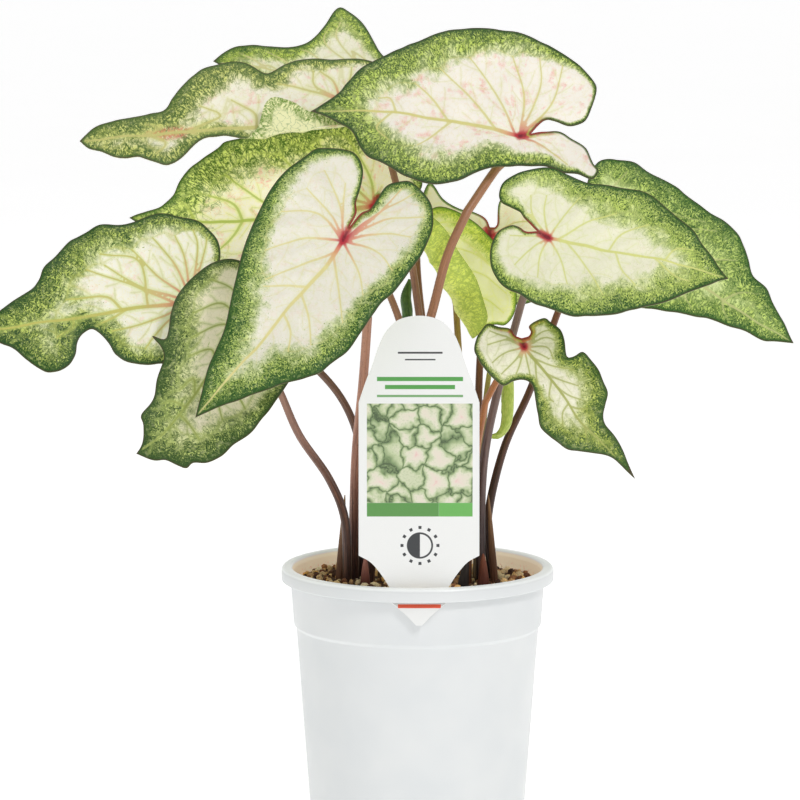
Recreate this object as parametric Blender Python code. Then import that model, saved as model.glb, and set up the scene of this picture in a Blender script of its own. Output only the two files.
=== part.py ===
# Caladium in a grower's pot: twelve leaf blades on stalks, two furled leaves, soil, pot and plant tag.
# Metres, +Z up. The origin is the centre of the pot's underside; the plant's front faces -Y.
import math
import random

import bpy
import bmesh
from mathutils import Vector, noise
from mathutils.geometry import delaunay_2d_cdt

MM = 0.001

# Pot
POT_HEIGHT = 130.0
LIP_RADIUS = 60.0
LIP_DEPTH = 6.0
LIP_WIDTH = 4.6
WALL = 1.2
NECK_RADIUS = 56.0
STEP_BELOW_RIM = 26.0
STEP_WIDTH = 1.0
BASE_RADIUS = 46.0
FLOOR = 1.6
DRAIN_HOLES = 6
DRAIN_RADIUS = 4.0
DRAIN_CIRCLE = 31.0
ROUND_STEPS = 44
EDGE_ROUND = 1.0
LIP_TOP = 2.2
SHARP_ANGLE = math.radians(35)

# Soil
SOIL_BELOW_RIM = 8.0
SOIL_GRID = 7.5
SOIL_RELIEF = 1.0
LUMP_COUNT = 40
LUMP_SIZES = (1.3, 2.3)
LUMP_STRETCH = (0.8, 1.2)
LUMP_RISE = 0.25
LUMP_SEED = 5
LUMP_TO_STALK = 4.5

# Clearances
GAP = 0.3
HOLE_GAP = 0.4
STALK_DEPTH = 12.0
STRAIGHT_FOOT = 4.0
PLUG_ABOVE_SOIL = 6.0

# Tag
TAG_THICKNESS = 0.7
TAG_GRID = 14.0
SLOT_CLEARANCE = 0.45
SLOT_HALF_WIDTH = 13.4
SLOT_TOP_BELOW_RIM = 1.8
SLOT_BOTTOM_BELOW_RIM = 9.0
SLOT_LEVELS = 6

# Leaves
BLADE_THICKNESS = 0.7
BLADE_GRID = 7.5
MARGIN_STEP = 5.0
FOLD_LINES = 5
FOLD_STEP = 3.0
FOLD_REACH = 180.0
TROUGH_POWER = 1.3
WAVE_POWER = 1.5
WAVE_REACH = 30.0
WAVE_SHIFT = 1.3
STALK_SIDES = 8
STALK_STEP = 16.0
NECK_STEP = 6.0
FURL_STEP = 7.0
NECK_LENGTH = 11.0
SHEATH_SIDES = 6
PROBE = 0.05

# The leaves are drawn as seen from the front: millimetres across and up on a sheet through the centre of
# the rim, which leans back so that it faces an eye EYE_DISTANCE away and a little above the plant. A third
# number tells how far behind that sheet a point lies, along the line from the eye.
EYE_DISTANCE = 1500.0
EYE_PITCH = math.radians(7.2)
EYE_ACROSS = -7.7
EYE_UP = 72.8
RIM_CENTRE = Vector((0.0, 0.0, POT_HEIGHT))
SHEET_ACROSS = Vector((1.0, 0.0, 0.0))
SHEET_UP = Vector((0.0, math.sin(EYE_PITCH), math.cos(EYE_PITCH)))
SHEET_BACK = Vector((0.0, math.cos(EYE_PITCH), -math.sin(EYE_PITCH)))
EYE = RIM_CENTRE + SHEET_ACROSS * EYE_ACROSS + SHEET_UP * EYE_UP - SHEET_BACK * EYE_DISTANCE


def in_front_view(across, up, behind):
    """Point in space, in mm, from its place on the front sheet and its distance behind it."""
    on_sheet = RIM_CENTRE + SHEET_ACROSS * across + SHEET_UP * up
    return EYE + (on_sheet - EYE) * (1.0 + behind / EYE_DISTANCE)


# Each leaf: the junction of blade and stalk, how far behind the sheet it lies, the tip, the notch between
# the lobes, both margins from the notch to the tip, the midrib between junction and tip, the slope of the
# blade (mm back for each mm across and up), its bow along the midrib, its trough across it, and its waves.
LEAVES = {
    "front": {
        "junction": (-33, 143), "behind": -60, "notch": (-30, 149), "tip": (-98, 65),
        "left": [(-27, 155), (-27, 160), (-25, 167), (-24, 174), (-26, 180), (-31, 183), (-43, 184),
                 (-50, 180), (-58, 174), (-64, 167), (-69, 158), (-76, 142), (-81, 123), (-85, 105),
                 (-89, 95), (-93, 85)],
        "right": [(-25, 155), (-21, 157), (-18, 161), (-14, 167), (-9, 169), (-3, 169), (2, 165), (6, 159),
                  (7, 152), (6, 146), (2, 137), (-4, 129), (-10, 121), (-17, 114), (-26, 101), (-31, 94),
                  (-38, 89), (-45, 84), (-62, 79), (-81, 72), (-89, 69)],
        "midrib": [(-40, 132), (-50, 121), (-58, 112), (-69, 98), (-81, 85)],
        "slope": (0.12, 0.45), "bow": 0.0018, "trough": 0.05, "wave": (1.2, 38, 0.4),
    },
    "top": {
        "junction": (45, 189), "behind": 0, "notch": (50, 190), "tip": (-47, 200),
        "left": [(56, 191), (63, 191), (68, 188), (74, 184), (78, 177), (80, 174), (77, 170), (71, 172),
                 (64, 173), (56, 176), (48, 176), (35, 176), (24, 172), (16, 169), (7, 168), (-2, 170),
                 (-11, 175), (-21, 180), (-25, 184), (-29, 191), (-35, 195), (-41, 198)],
        "right": [(56, 196), (61, 196), (68, 194), (74, 196), (77, 202), (79, 209), (78, 213), (73, 219),
                  (64, 226), (54, 231), (44, 235), (35, 236), (24, 237), (16, 236), (7, 234), (-3, 230),
                  (-13, 225), (-24, 220), (-31, 213), (-36, 207)],
        "midrib": [(25, 194), (11, 196), (-7, 199), (-21, 200)],
        "slope": (0.12, 0.9), "bow": 0.0016, "trough": 0.05, "wave": (1.5, 42, 1.0),
    },
    "right": {
        "junction": (58, 144), "behind": -38, "notch": (53, 147), "tip": (137, 126),
        "left": [(48, 147), (45, 149), (41, 150), (36, 147), (33, 142), (32, 136), (33, 130), (37, 124),
                 (44, 120), (52, 115), (61, 112), (70, 110), (80, 110), (96, 113), (106, 115), (114, 118),
                 (129, 124)],
        "right": [(50, 150), (47, 153), (45, 156), (41, 158), (37, 160), (36, 164), (38, 169), (45, 173),
                  (53, 175), (60, 175), (67, 172), (74, 169), (81, 168), (91, 166), (99, 165), (106, 161),
                  (114, 154), (121, 148), (126, 141), (132, 133)],
        "midrib": [(73, 141), (85, 138), (99, 136), (113, 133), (125, 130)],
        "slope": (-0.2, 0.75), "bow": 0.0022, "trough": 0.06, "wave": (1.2, 40, 0.0),
    },
    "far_right": {
        "junction": (81, 151), "behind": 38, "notch": (78, 156), "tip": (166, 98),
        "left": [(70, 154), (66, 144), (68, 132), (76, 122), (88, 115), (101, 113), (116, 111), (126, 109),
                 (136, 106), (145, 103), (154, 99)],
        "right": [(74, 162), (76, 172), (80, 178), (87, 179), (95, 178), (101, 174), (108, 170), (115, 166),
                  (127, 157), (135, 152), (141, 146), (144, 141), (146, 135), (148, 128), (154, 122),
                  (157, 115), (162, 106)],
        "midrib": [(100, 140), (120, 127), (140, 113), (155, 104)],
        "slope": (0.12, 0.8), "bow": 0.0018, "trough": 0.06, "wave": (1.8, 36, 0.6),
    },
    "left": {
        "junction": (-100, 117), "behind": -24, "notch": (-95, 121), "tip": (-197, 103),
        "left": [(-90, 124), (-87, 135), (-88, 143), (-92, 148), (-97, 152), (-106, 154), (-115, 155),
                 (-126, 151), (-132, 150), (-140, 150), (-146, 147), (-153, 143), (-160, 136), (-165, 131),
                 (-167, 126), (-171, 121), (-179, 116), (-184, 112)],
        "right": [(-90, 114), (-87, 104), (-92, 94), (-102, 90), (-112, 89), (-122, 89), (-129, 90),
                  (-133, 93), (-136, 98), (-140, 102), (-144, 104), (-148, 102), (-150, 98), (-151, 92),
                  (-155, 87), (-162, 85), (-167, 87), (-173, 91), (-179, 96), (-184, 98)],
        "midrib": [(-107, 115), (-125, 113), (-142, 110), (-163, 107), (-184, 104)],
        "slope": (0.2, 0.75), "bow": 0.0018, "trough": 0.06, "wave": (2.0, 44, 2.2),
    },
    "low_left": {
        "junction": (-75, 103), "behind": -46, "notch": (-68, 108), "tip": (-124, 49),
        "left": [(-66, 116), (-69, 128), (-77, 134), (-84, 135), (-91, 133), (-98, 128), (-103, 123),
                 (-107, 117), (-109, 110), (-111, 100), (-117, 101), (-113, 96), (-112, 91), (-115, 82),
                 (-116, 75), (-118, 71), (-122, 66), (-121, 62), (-121, 56), (-122, 52)],
        "right": [(-60, 107), (-54, 98), (-53, 88), (-58, 79), (-64, 70), (-69, 64), (-74, 58), (-81, 53),
                  (-87, 48), (-93, 45), (-99, 45), (-102, 43), (-106, 44), (-111, 46), (-116, 46)],
        "midrib": [(-88, 89), (-99, 74), (-106, 65), (-114, 56)],
        "slope": (0.15, 0.6), "bow": 0.002, "trough": 0.08, "wave": (1.8, 30, 0.8),
    },
    "mid_left": {
        "junction": (-19, 158), "behind": 30, "notch": (-17, 162), "tip": (-127, 153),
        "left": [(-8, 160), (0, 164), (2, 170), (-4, 182), (-14, 191), (-32, 195), (-39, 195), (-48, 193),
                 (-65, 191), (-73, 189), (-84, 187), (-88, 184), (-94, 180), (-100, 175), (-105, 169),
                 (-108, 163), (-113, 158), (-120, 156)],
        "right": [(-10, 156), (-6, 146), (-8, 134), (-20, 123), (-36, 117), (-54, 114), (-72, 114),
                  (-84, 118), (-94, 126), (-104, 136), (-114, 145)],
        "midrib": [(-38, 156), (-60, 153), (-85, 151), (-108, 152)],
        "slope": (0.06, 0.65), "bow": 0.0014, "trough": 0.05, "wave": (1.6, 40, 0.2),
    },
    "upper_left": {
        "junction": (-34, 205), "behind": 30, "notch": (-25, 206), "tip": (-149, 187),
        "left": [(-17, 209), (-14, 215), (-18, 221), (-25, 223), (-38, 223), (-50, 223), (-56, 222),
                 (-63, 218), (-67, 217), (-73, 220), (-80, 222), (-88, 221), (-95, 219), (-103, 212),
                 (-108, 206), (-112, 201), (-122, 198), (-133, 196), (-143, 193)],
        "right": [(-17, 203), (-13, 196), (-17, 188), (-26, 184), (-36, 183), (-46, 178), (-51, 173),
                  (-56, 169), (-60, 168), (-64, 171), (-67, 177), (-70, 182), (-77, 187), (-88, 189),
                  (-95, 188), (-100, 184), (-104, 180), (-108, 177), (-112, 176), (-120, 179),
                  (-124, 180), (-133, 180), (-139, 182), (-145, 184)],
        "midrib": [(-55, 203), (-75, 200), (-98, 195), (-125, 190)],
        "slope": (0.05, 1.1), "bow": 0.0012, "trough": 0.05, "wave": (1.8, 40, 1.4),
        "fold": {"from": (-92, 189), "to": (-20, 197), "turn": 150, "radius": 2.6, "start": 16},
    },
    "topmost": {
        "junction": (-20, 214), "behind": 62, "notch": (-14, 218), "tip": (-90, 222),
        "left": [(-9, 214), (-9, 208), (-18, 204), (-30, 203), (-45, 204), (-60, 208), (-75, 215)],
        "right": [(-13, 222), (-17, 227), (-22, 236), (-26, 241), (-31, 245), (-34, 246), (-37, 244),
                  (-41, 238), (-45, 233), (-51, 229), (-57, 228), (-66, 229), (-75, 229), (-82, 228)],
        "midrib": [(-35, 215), (-55, 217), (-75, 220)],
        "slope": (-0.1, 0.9), "bow": 0.0018, "trough": 0.06, "wave": (1.6, 34, 0.5),
    },
    "small_right": {
        "junction": (47, 96), "behind": -44, "notch": (46, 100), "tip": (96, 38),
        "left": [(43, 101), (41, 104), (36, 105), (31, 106), (28, 103), (26, 100), (25, 95), (27, 90),
                 (30, 86), (34, 82), (38, 79), (42, 81), (46, 82), (49, 81), (51, 78), (52, 73), (53, 67),
                 (54, 61), (58, 57), (62, 54), (67, 51), (73, 50), (84, 48), (90, 44)],
        "right": [(49, 101), (50, 103), (49, 105), (51, 107), (56, 109), (59, 107), (63, 104), (65, 99),
                  (66, 92), (69, 92), (73, 94), (77, 90), (80, 86), (82, 81), (84, 76), (83, 71),
                  (82, 66), (83, 62), (87, 57), (90, 52), (93, 45)],
        "midrib": [(57, 84), (66, 72), (72, 63), (81, 54)],
        "slope": (-0.1, 0.5), "bow": 0.003, "trough": 0.08, "wave": (1.6, 26, 0.9),
    },
    "young": {
        "junction": (4, 150), "behind": 14, "notch": (2, 155), "tip": (23.5, 99.5),
        "left": [(-4, 159), (-11, 154), (-15, 144), (-14, 135), (-10, 126), (-5, 115), (-1, 108),
                 (5, 101), (9, 97), (14, 96), (19, 97)],
        "right": [(9, 158), (16, 156.5), (22, 153.5), (29, 148), (35, 141.5), (40, 133), (43.5, 122),
                  (43, 112), (39, 106), (34, 106), (29, 104)],
        "midrib": [(12, 138), (19, 126), (23, 112)],
        "slope": (0.1, 0.3), "bow": 0.002, "trough": 0.0, "wave": (0.8, 30, 0.0),
        "fold": {"from": (-4.7, 160), "to": (27, 101.5), "turn": 185, "radius": 3.5, "start": 0},
    },
    "back_centre": {
        "junction": (32, 145), "behind": 44, "notch": (32, 149), "tip": (57, 118),
        "left": [(30, 153), (24, 156), (19, 157), (12, 161), (6, 168), (3, 165), (2, 158), (6, 148),
                 (13, 138), (22, 128), (34, 119), (45, 115)],
        "right": [(35, 150), (36, 160), (42, 166), (52, 164), (60, 156), (62, 144), (61, 131)],
        "midrib": [(38, 138), (45, 130), (51, 124)],
        "slope": (0.05, 0.45), "bow": 0.001, "trough": 0.05, "wave": (1.0, 30, 0.0),
    },
}

# Each stalk: its foot on the soil (x, y), its diameter at the foot and at the blade, and the points that
# it passes on its way up to the blade, on the front sheet with the distance behind it.
STALKS = {
    "front": {"foot": (-28, 9), "sizes": (4.4, 3.8),
              "way": [(-28, 21, 4), (-27, 50, -8), (-24, 81, -24), (-22, 109, -39), (-25, 128, -48)]},
    "top": {"foot": (-21, 3), "sizes": (4.4, 3.8),
            "way": [(-15, 35, -5), (-4, 78, -12), (6, 110, -15), (13, 136, -16), (22, 156, -12),
                    (35, 175, -1)]},
    "right": {"foot": (28, 3), "sizes": (4.2, 3.2),
              "way": [(28, 25, 1), (30, 51, -5), (36, 79, -14), (46, 116, -27), (52, 132, -32)]},
    "far_right": {"foot": (33, 10), "sizes": (4.0, 2.8),
                  "way": [(31, 20, 12), (38, 51, 18), (50, 78, 25), (61, 109, 32), (70, 132, 38)]},
    "left": {"foot": (-25, 14), "sizes": (3.8, 3.0),
             "way": [(-23, 30, 11), (-28, 62, 5), (-43, 85, -3), (-72, 106, -12), (-88, 113, -16)]},
    "low_left": {"foot": (-31, 2), "sizes": (4.2, 3.0),
                 "way": [(-32, 20, -2), (-39, 38, -12), (-52, 57, -26), (-60, 75, -36), (-67, 90, -41)]},
    "mid_left": {"foot": (14, 3), "sizes": (3.8, 3.0),
                 "way": [(10, 40, 2), (1, 80, 4), (-8, 108, 11), (-13, 121, 18), (-15, 138, 29)]},
    "upper_left": {"foot": (16, 9), "sizes": (3.8, 3.0),
                   "way": [(13, 40, 11), (8, 70, 13), (3, 95, 15), (-2, 130, 13), (-7, 158, 17),
                           (-13, 182, 28), (-24, 196, 35)]},
    "topmost": {"foot": (17, 16), "sizes": (3.6, 2.8),
                "way": [(14, 40, 21), (9, 70, 25), (4, 95, 28), (0, 130, 33), (0, 160, 40),
                        (-3, 185, 52), (-11, 203, 64)]},
    "small_right": {"foot": (22, 0), "sizes": (4.0, 2.6),
                    "way": [(23, 25, -3), (26, 50, -12), (30, 72, -24), (38, 86, -35)]},
    "young": {"foot": (22, 12), "sizes": (3.4, 2.8),
              "way": [(21, 40, 15), (19, 80, 20), (17, 115, 25), (11, 138, 24)]},
    "back_centre": {"foot": (28, 15), "sizes": (3.8, 3.0),
                    "way": [(27, 40, 18), (27, 74, 24), (28, 100, 34), (30, 126, 44)]},
}

# Furled leaves: foot, then the points that the roll passes, each with its radius.
FURLED = {
    "furled_right": {"foot": (26, 8),
                     "way": [(27, 30, 12, 1.4), (29, 60, 13, 1.3), (31, 80, 12, 1.2), (33, 90, 11, 1.1),
                             (36.5, 94.5, 10, 1.2), (39.5, 90, 9, 1.7), (40, 80, 9, 2.6),
                             (39.5, 66, 8, 2.7), (38, 60, 7, 2.1), (35, 57, 6.5, 1.5),
                             (31.5, 57, 6, 0.8)]},
    "furled_centre": {"foot": (-16, 10),
                      "way": [(-14, 40, 14, 1.6), (-9, 85, 18, 1.6), (-4.5, 108, 21, 2.4),
                              (-5, 118, 21, 2.4), (-3, 126, 21, 1.0)]},
}

# Papery sheaths and buds at the foot of the stalks: foot, top on the front sheet, radius at the foot. Their
# taper is the share of the way from the soil to the top and the share of the radius there.
SHEATH_TAPER = [(0.0, 1.0), (0.5, 0.8), (0.85, 0.45), (1.0, 0.15)]
SHEATHS = {
    "sheath_left": {"foot": (-34.5, 8), "top": (-32, 31, 6), "radius": 1.7},
    "sheath_right": {"foot": (34, 3), "top": (31.3, 31, 0), "radius": 1.6},
    "bud_left": {"foot": (-23, -4), "top": (-23, 4, -6), "radius": 2.0},
    "sheath_dark": {"foot": (20, -8), "top": (22, 4, -8), "radius": 2.2},
    "crown_right": {"foot": (29, -5), "top": (29, 5, -5), "radius": 2.4},
}

# Tag: half outline from the middle of its top to its lower point, as (across, height above the base), and
# the line that it follows from top to bottom, as (y, height).
TAG_ACROSS = 0.4
TAG_HALF = [(0, 244.7), (8.6, 243), (13.9, 238.3), (16.9, 232.8), (20.1, 223.6), (23, 216), (25.7, 208),
            (25.7, 143), (20.5, 140), (15.9, 134.6), (12.6, 129.5), (12.8, 124.5), (6.1, 119), (1.2, 114.2),
            (0, 114)]
TAG_LINE = [(-41.0, 245), (-46.3, 190), (-50.0, 150), (-51.0, 138), (-51.6, 131), (-52.5, 128),
            (-56.6, 122.9), (-58.0, 118), (-58.6, 113)]
TAG_BENDS = [(160, 25), (145, 25), (131, 12.9), (128, 12), (126.5, 12), (125, 12), (123.5, 11), (122, 9)]

LEAF_GREEN = (0.20, 0.36, 0.06)
STALK_BROWN = (0.22, 0.09, 0.05)
COLOURS = {
    "pot": (0.78, 0.80, 0.80), "soil": (0.14, 0.08, 0.04), "tag": (0.85, 0.85, 0.83),
    "blade": (0.62, 0.70, 0.36), "stalk": STALK_BROWN, "furled": LEAF_GREEN,
    "sheath_left": (0.55, 0.42, 0.25), "sheath_right": (0.55, 0.42, 0.25), "bud_left": (0.50, 0.20, 0.16),
    "sheath_dark": (0.03, 0.02, 0.02), "crown_right": (0.25, 0.07, 0.05),
}


def clear_scene():
    for thing in list(bpy.data.objects):
        bpy.data.objects.remove(thing, do_unlink=True)


def material(name, colour, roughness=0.5):
    made = bpy.data.materials.new(name)
    made.use_nodes = True
    shader = made.node_tree.nodes["Principled BSDF"]
    shader.inputs["Base Color"].default_value = (*colour, 1.0)
    shader.inputs["Roughness"].default_value = roughness
    shader.inputs["Metallic"].default_value = 0.0
    return made


def object_from(name, verts, faces, colour, roughness=0.5, smooth=True):
    """Object from points in mm and faces, with a material of its own."""
    mesh = bpy.data.meshes.new(name)
    mesh.from_pydata([Vector(v) * MM for v in verts], [], faces)
    mesh.validate()
    if smooth:
        mesh.shade_smooth()
    made = bpy.data.objects.new(name, mesh)
    bpy.context.collection.objects.link(made)
    made.data.materials.append(material(name, colour, roughness))
    return made


def smooth_line(points, step):
    """Points about step apart on a smooth curve through the given ones (Vectors of any size)."""
    ends = [points[0] * 2 - points[1]] + list(points) + [points[-1] * 2 - points[-2]]
    line = []
    for before, start, end, after in zip(ends, ends[1:], ends[2:], ends[3:]):
        count = max(1, round((end - start).length / step))
        for i in range(count):
            t = i / count
            line.append(0.5 * (2 * start + (end - before) * t
                               + (2 * before - 5 * start + 4 * end - after) * t * t
                               + (3 * start - before - 3 * end + after) * t ** 3))
    line.append(points[-1].copy())
    return line


def inside(point, polygon):
    """Whether a flat point lies within a polygon."""
    x, y = point
    odd = False
    for a, b in zip(polygon, polygon[1:] + polygon[:1]):
        if (a.y > y) != (b.y > y) and x < a.x + (y - a.y) * (b.x - a.x) / (b.y - a.y):
            odd = not odd
    return odd


def distance_to_line(point, line):
    """Shortest distance from a flat point to a chain of points."""
    best = math.inf
    for a, b in zip(line, line[1:]):
        along = b - a
        t = max(0.0, min(1.0, (point - a).dot(along) / along.length_squared))
        best = min(best, (point - a - along * t).length)
    return best


def flat_net(outline, creases, grid):
    """Triangles that fill an outline, with points on a staggered grid and edges along the creases."""
    points = list(outline)
    count = len(outline)
    edges = [(i, (i + 1) % count) for i in range(count)]
    for crease in creases:
        first = len(points)
        points += crease
        edges += [(first + i, first + i + 1) for i in range(len(crease) - 1)]
    closed = outline + outline[:1]
    low_x, high_x = min(p.x for p in outline), max(p.x for p in outline)
    low_y, high_y = min(p.y for p in outline), max(p.y for p in outline)
    row_height = grid * math.sqrt(3) / 2
    for row in range(int((high_y - low_y) / row_height) + 2):
        for column in range(int((high_x - low_x) / grid) + 2):
            point = Vector((low_x + (column + 0.5 * (row % 2)) * grid, low_y + row * row_height))
            if not inside(point, outline) or distance_to_line(point, closed) < grid / 2:
                continue
            if all(distance_to_line(point, crease) > grid / 2 for crease in creases):
                points.append(point)
    result = delaunay_2d_cdt(points, edges, [], 1, 1e-4)
    return [Vector(p) for p in result[0]], [tuple(f) for f in result[2]]


def normal_at(place, x, y):
    """Direction square to the surface that place(x, y) gives."""
    along_x = place(x + PROBE, y) - place(x - PROBE, y)
    along_y = place(x, y + PROBE) - place(x, y - PROBE)
    return along_x.cross(along_y).normalized()


def thick_sheet(flat, faces, place, thickness):
    """Closed sheet: place(x, y) gives the middle surface, and both sides have the same triangles."""
    front, back = [], []
    for point in flat:
        middle = place(point.x, point.y)
        half = normal_at(place, point.x, point.y) * thickness / 2
        front.append(middle + half)
        back.append(middle - half)
    count = len(flat)
    seen = set()
    for face in faces:
        for a, b in zip(face, face[1:] + face[:1]):
            seen.add((a, b))
    shell = [face for face in faces]
    shell += [tuple(count + i for i in reversed(face)) for face in faces]
    for a, b in seen:
        if (b, a) not in seen:
            shell.append((b, a, count + a))
            shell.append((b, count + a, count + b))
    return front + back, shell


def fold_frame(fold):
    """Start of a fold's line, the direction along it and the direction of the side that folds."""
    start = Vector(fold["from"])
    along = (Vector(fold["to"]) - start).normalized()
    return start, along, Vector((along.y, -along.x))


def folded(fold, across, up):
    """Where a drawn point goes when the blade beyond the fold's line is rolled towards the front."""
    start, along, beyond = fold_frame(fold)
    offset = Vector((across, up)) - start
    reach = offset.dot(beyond)
    if reach <= 0:
        return across, up, 0.0
    grown = 1.0
    if fold["start"]:
        grown = max(0.0, min(1.0, offset.dot(along) / fold["start"]))
    turn = math.radians(fold["turn"]) * grown * grown * (3 - 2 * grown)
    radius = fold["radius"]
    bent = min(reach / radius, turn)
    rest = reach - bent * radius
    shift = radius * math.sin(bent) + rest * math.cos(bent) - reach
    lift = radius * (1 - math.cos(bent)) + rest * math.sin(bent)
    across, up = Vector((across, up)) + beyond * shift
    return across, up, lift


def fold_creases(fold, outline):
    """Lines along a fold, so that the net of triangles follows its round."""
    start, along, beyond = fold_frame(fold)
    width = fold["radius"] * math.radians(fold["turn"])
    creases = []
    closed = outline + outline[:1]
    for i in range(FOLD_LINES):
        origin = start + beyond * width * i / (FOLD_LINES - 1)
        line = [origin + along * FOLD_STEP * k for k in range(-1, round(FOLD_REACH / FOLD_STEP))]
        run = [p for p in line if inside(p, outline) and distance_to_line(p, closed) > 0.4 * FOLD_STEP]
        if len(run) > 1:
            creases.append(run)
    return creases


def blade_surface(leaf):
    """The place function of a blade: from its drawing on the front sheet to its surface in space."""
    junction = Vector(leaf["junction"])
    forward = (Vector(leaf["tip"]) - junction).normalized()
    sideways = Vector((-forward.y, forward.x))
    slope_across, slope_up = leaf["slope"]
    swell, length, phase = leaf["wave"]
    fold = leaf.get("fold")

    def place(across, up):
        lift = 0.0
        if fold:
            across, up, lift = folded(fold, across, up)
        offset = Vector((across, up)) - junction
        ahead, aside = offset.dot(forward), offset.dot(sideways)
        behind = leaf["behind"] + slope_across * offset.x + slope_up * offset.y
        behind += leaf["bow"] * ahead * ahead
        behind -= leaf["trough"] * abs(aside) ** TROUGH_POWER
        spread = min(1.0, abs(aside) / WAVE_REACH) ** WAVE_POWER
        shift = math.copysign(WAVE_SHIFT, aside)
        behind += swell * spread * math.sin(math.tau * ahead / length + phase + shift)
        return in_front_view(across, up, behind - lift)

    return place


def blade_outline(leaf, step):
    """The blade's margin, once round from the notch by the left lobe to the tip and back."""
    notch, tip = Vector(leaf["notch"]), Vector(leaf["tip"])
    left = smooth_line([notch] + [Vector(p) for p in leaf["left"]] + [tip], step)
    right = smooth_line([notch] + [Vector(p) for p in leaf["right"]] + [tip], step)
    return left + right[-2:0:-1]


def signed_area(outline):
    return 0.5 * sum(a.x * b.y - b.x * a.y for a, b in zip(outline, outline[1:] + outline[:1]))


def make_blade(name, leaf):
    outline = blade_outline(leaf, MARGIN_STEP)
    if signed_area(outline) < 0:
        outline.reverse()
    junction, tip = Vector(leaf["junction"]), Vector(leaf["tip"])
    midrib = smooth_line([junction] + [Vector(p) for p in leaf["midrib"]] + [tip], BLADE_GRID)[:-1]
    creases = [midrib]
    if "fold" in leaf:
        creases = [[junction]] + fold_creases(leaf["fold"], outline)
    flat, faces = flat_net(outline, creases, BLADE_GRID)
    verts, shell = thick_sheet(flat, faces, blade_surface(leaf), BLADE_THICKNESS)
    return object_from("blade_" + name, verts, shell, COLOURS["blade"], 0.45)


def tube(centres, radii, sides, end_plane=None):
    """Closed round tube along the centres. With end_plane, its last ring is cut to that plane."""
    verts, faces = [], []
    across = Vector((1.0, 0.0, 0.0))
    count = len(centres)
    for i, (centre, radius) in enumerate(zip(centres, radii)):
        along = (centres[min(i + 1, count - 1)] - centres[max(i - 1, 0)]).normalized()
        across = (across - along * across.dot(along)).normalized()
        other = along.cross(across)
        for k in range(sides):
            angle = math.tau * k / sides
            point = centre + (across * math.cos(angle) + other * math.sin(angle)) * radius
            if end_plane and i == count - 1:
                origin, normal = end_plane
                point += along * ((origin - point).dot(normal) / along.dot(normal))
            verts.append(point)
    for i in range(count - 1):
        for k in range(sides):
            a, b = i * sides + k, i * sides + (k + 1) % sides
            faces.append((a, b, b + sides, a + sides))
    faces.append(tuple(range(sides - 1, -1, -1)))
    last = (count - 1) * sides
    faces.append(tuple(last + k for k in range(sides)))
    return verts, faces


def soil_height(x, y):
    """Height of the soil's surface in mm."""
    rise = noise.noise(Vector((x / 9.0, y / 9.0, 0.5))) + 0.5 * noise.noise(Vector((x / 4.0, y / 4.0, 3.5)))
    return POT_HEIGHT - SOIL_BELOW_RIM + SOIL_RELIEF * rise


def rooted(foot, way):
    """A stalk's line: straight up out of the soil at its foot, then through the given points."""
    top = POT_HEIGHT - SOIL_BELOW_RIM
    return [Vector((*foot, height)) for height in (top - STALK_DEPTH, top, top + STRAIGHT_FOOT)] + way


def stalk_line(name, stalk):
    """Centres of a stalk from its foot to just under its blade, and the plane that it ends on."""
    leaf = LEAVES[name]
    place = blade_surface(leaf)
    across, up = leaf["junction"]
    normal = normal_at(place, across, up)
    end = place(across, up) - normal * (BLADE_THICKNESS / 2 + GAP)
    points = rooted(stalk["foot"], [in_front_view(*p) for p in stalk["way"]])
    inward = ((end - points[-1]).normalized() + normal).normalized()
    neck = smooth_line(points[-2:] + [end - inward * NECK_LENGTH, end], NECK_STEP)
    lower = smooth_line(points[:-1], STALK_STEP)
    return lower[:-1] + neck, (end, normal)


def make_stalk(name, stalk):
    centres, end_plane = stalk_line(name, stalk)
    low, high = stalk["sizes"]
    last = len(centres) - 1
    radii = [0.5 * (low + (high - low) * i / last) for i in range(last + 1)]
    verts, faces = tube(centres, radii, STALK_SIDES, end_plane)
    return object_from("stalk_" + name, verts, faces, COLOURS["stalk"], 0.4)


def make_furled(name, roll):
    way = roll["way"]
    centres = rooted(roll["foot"], [in_front_view(*point[:3]) for point in way])
    radii = [way[0][3]] * (len(centres) - len(way)) + [point[3] for point in way]
    line = smooth_line([Vector((*centre, radius)) for centre, radius in zip(centres, radii)], FURL_STEP)
    verts, faces = tube([Vector(p[:3]) for p in line], [p[3] for p in line], STALK_SIDES)
    return object_from(name, verts, faces, COLOURS["furled"], 0.45)


def make_sheath(name, sheath):
    x, y = sheath["foot"]
    top = POT_HEIGHT - SOIL_BELOW_RIM
    tip = in_front_view(*sheath["top"])
    radius = sheath["radius"]
    ground = Vector((x, y, top))
    centres = [Vector((x, y, top - STALK_DEPTH / 2))] + [ground.lerp(tip, share) for share, _ in SHEATH_TAPER]
    radii = [radius] + [radius * share for _, share in SHEATH_TAPER]
    verts, faces = tube(centres, radii, SHEATH_SIDES)
    return object_from(name, verts, faces, COLOURS[name], 0.6)


def turned(name, profile, colour, roughness):
    """Solid turned about the upright axis from a closed profile of (radius, height)."""
    verts, faces = [], []
    count = len(profile)
    for step in range(ROUND_STEPS):
        angle = math.tau * step / ROUND_STEPS
        for radius, height in profile:
            verts.append((radius * math.cos(angle), radius * math.sin(angle), height))
    for step in range(ROUND_STEPS):
        here, there = step * count, (step + 1) % ROUND_STEPS * count
        for i in range(count):
            j = (i + 1) % count
            faces.append((here + i, there + i, there + j, here + j))
    return object_from(name, verts, faces, colour, roughness)


def wall_radius(height):
    """Outer radius of the pot's wall below the lip."""
    run = POT_HEIGHT - LIP_DEPTH
    taper = (NECK_RADIUS - STEP_WIDTH - BASE_RADIUS) / run
    radius = BASE_RADIUS + taper * height
    if height > POT_HEIGHT - STEP_BELOW_RIM:
        radius += STEP_WIDTH
    return radius


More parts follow.
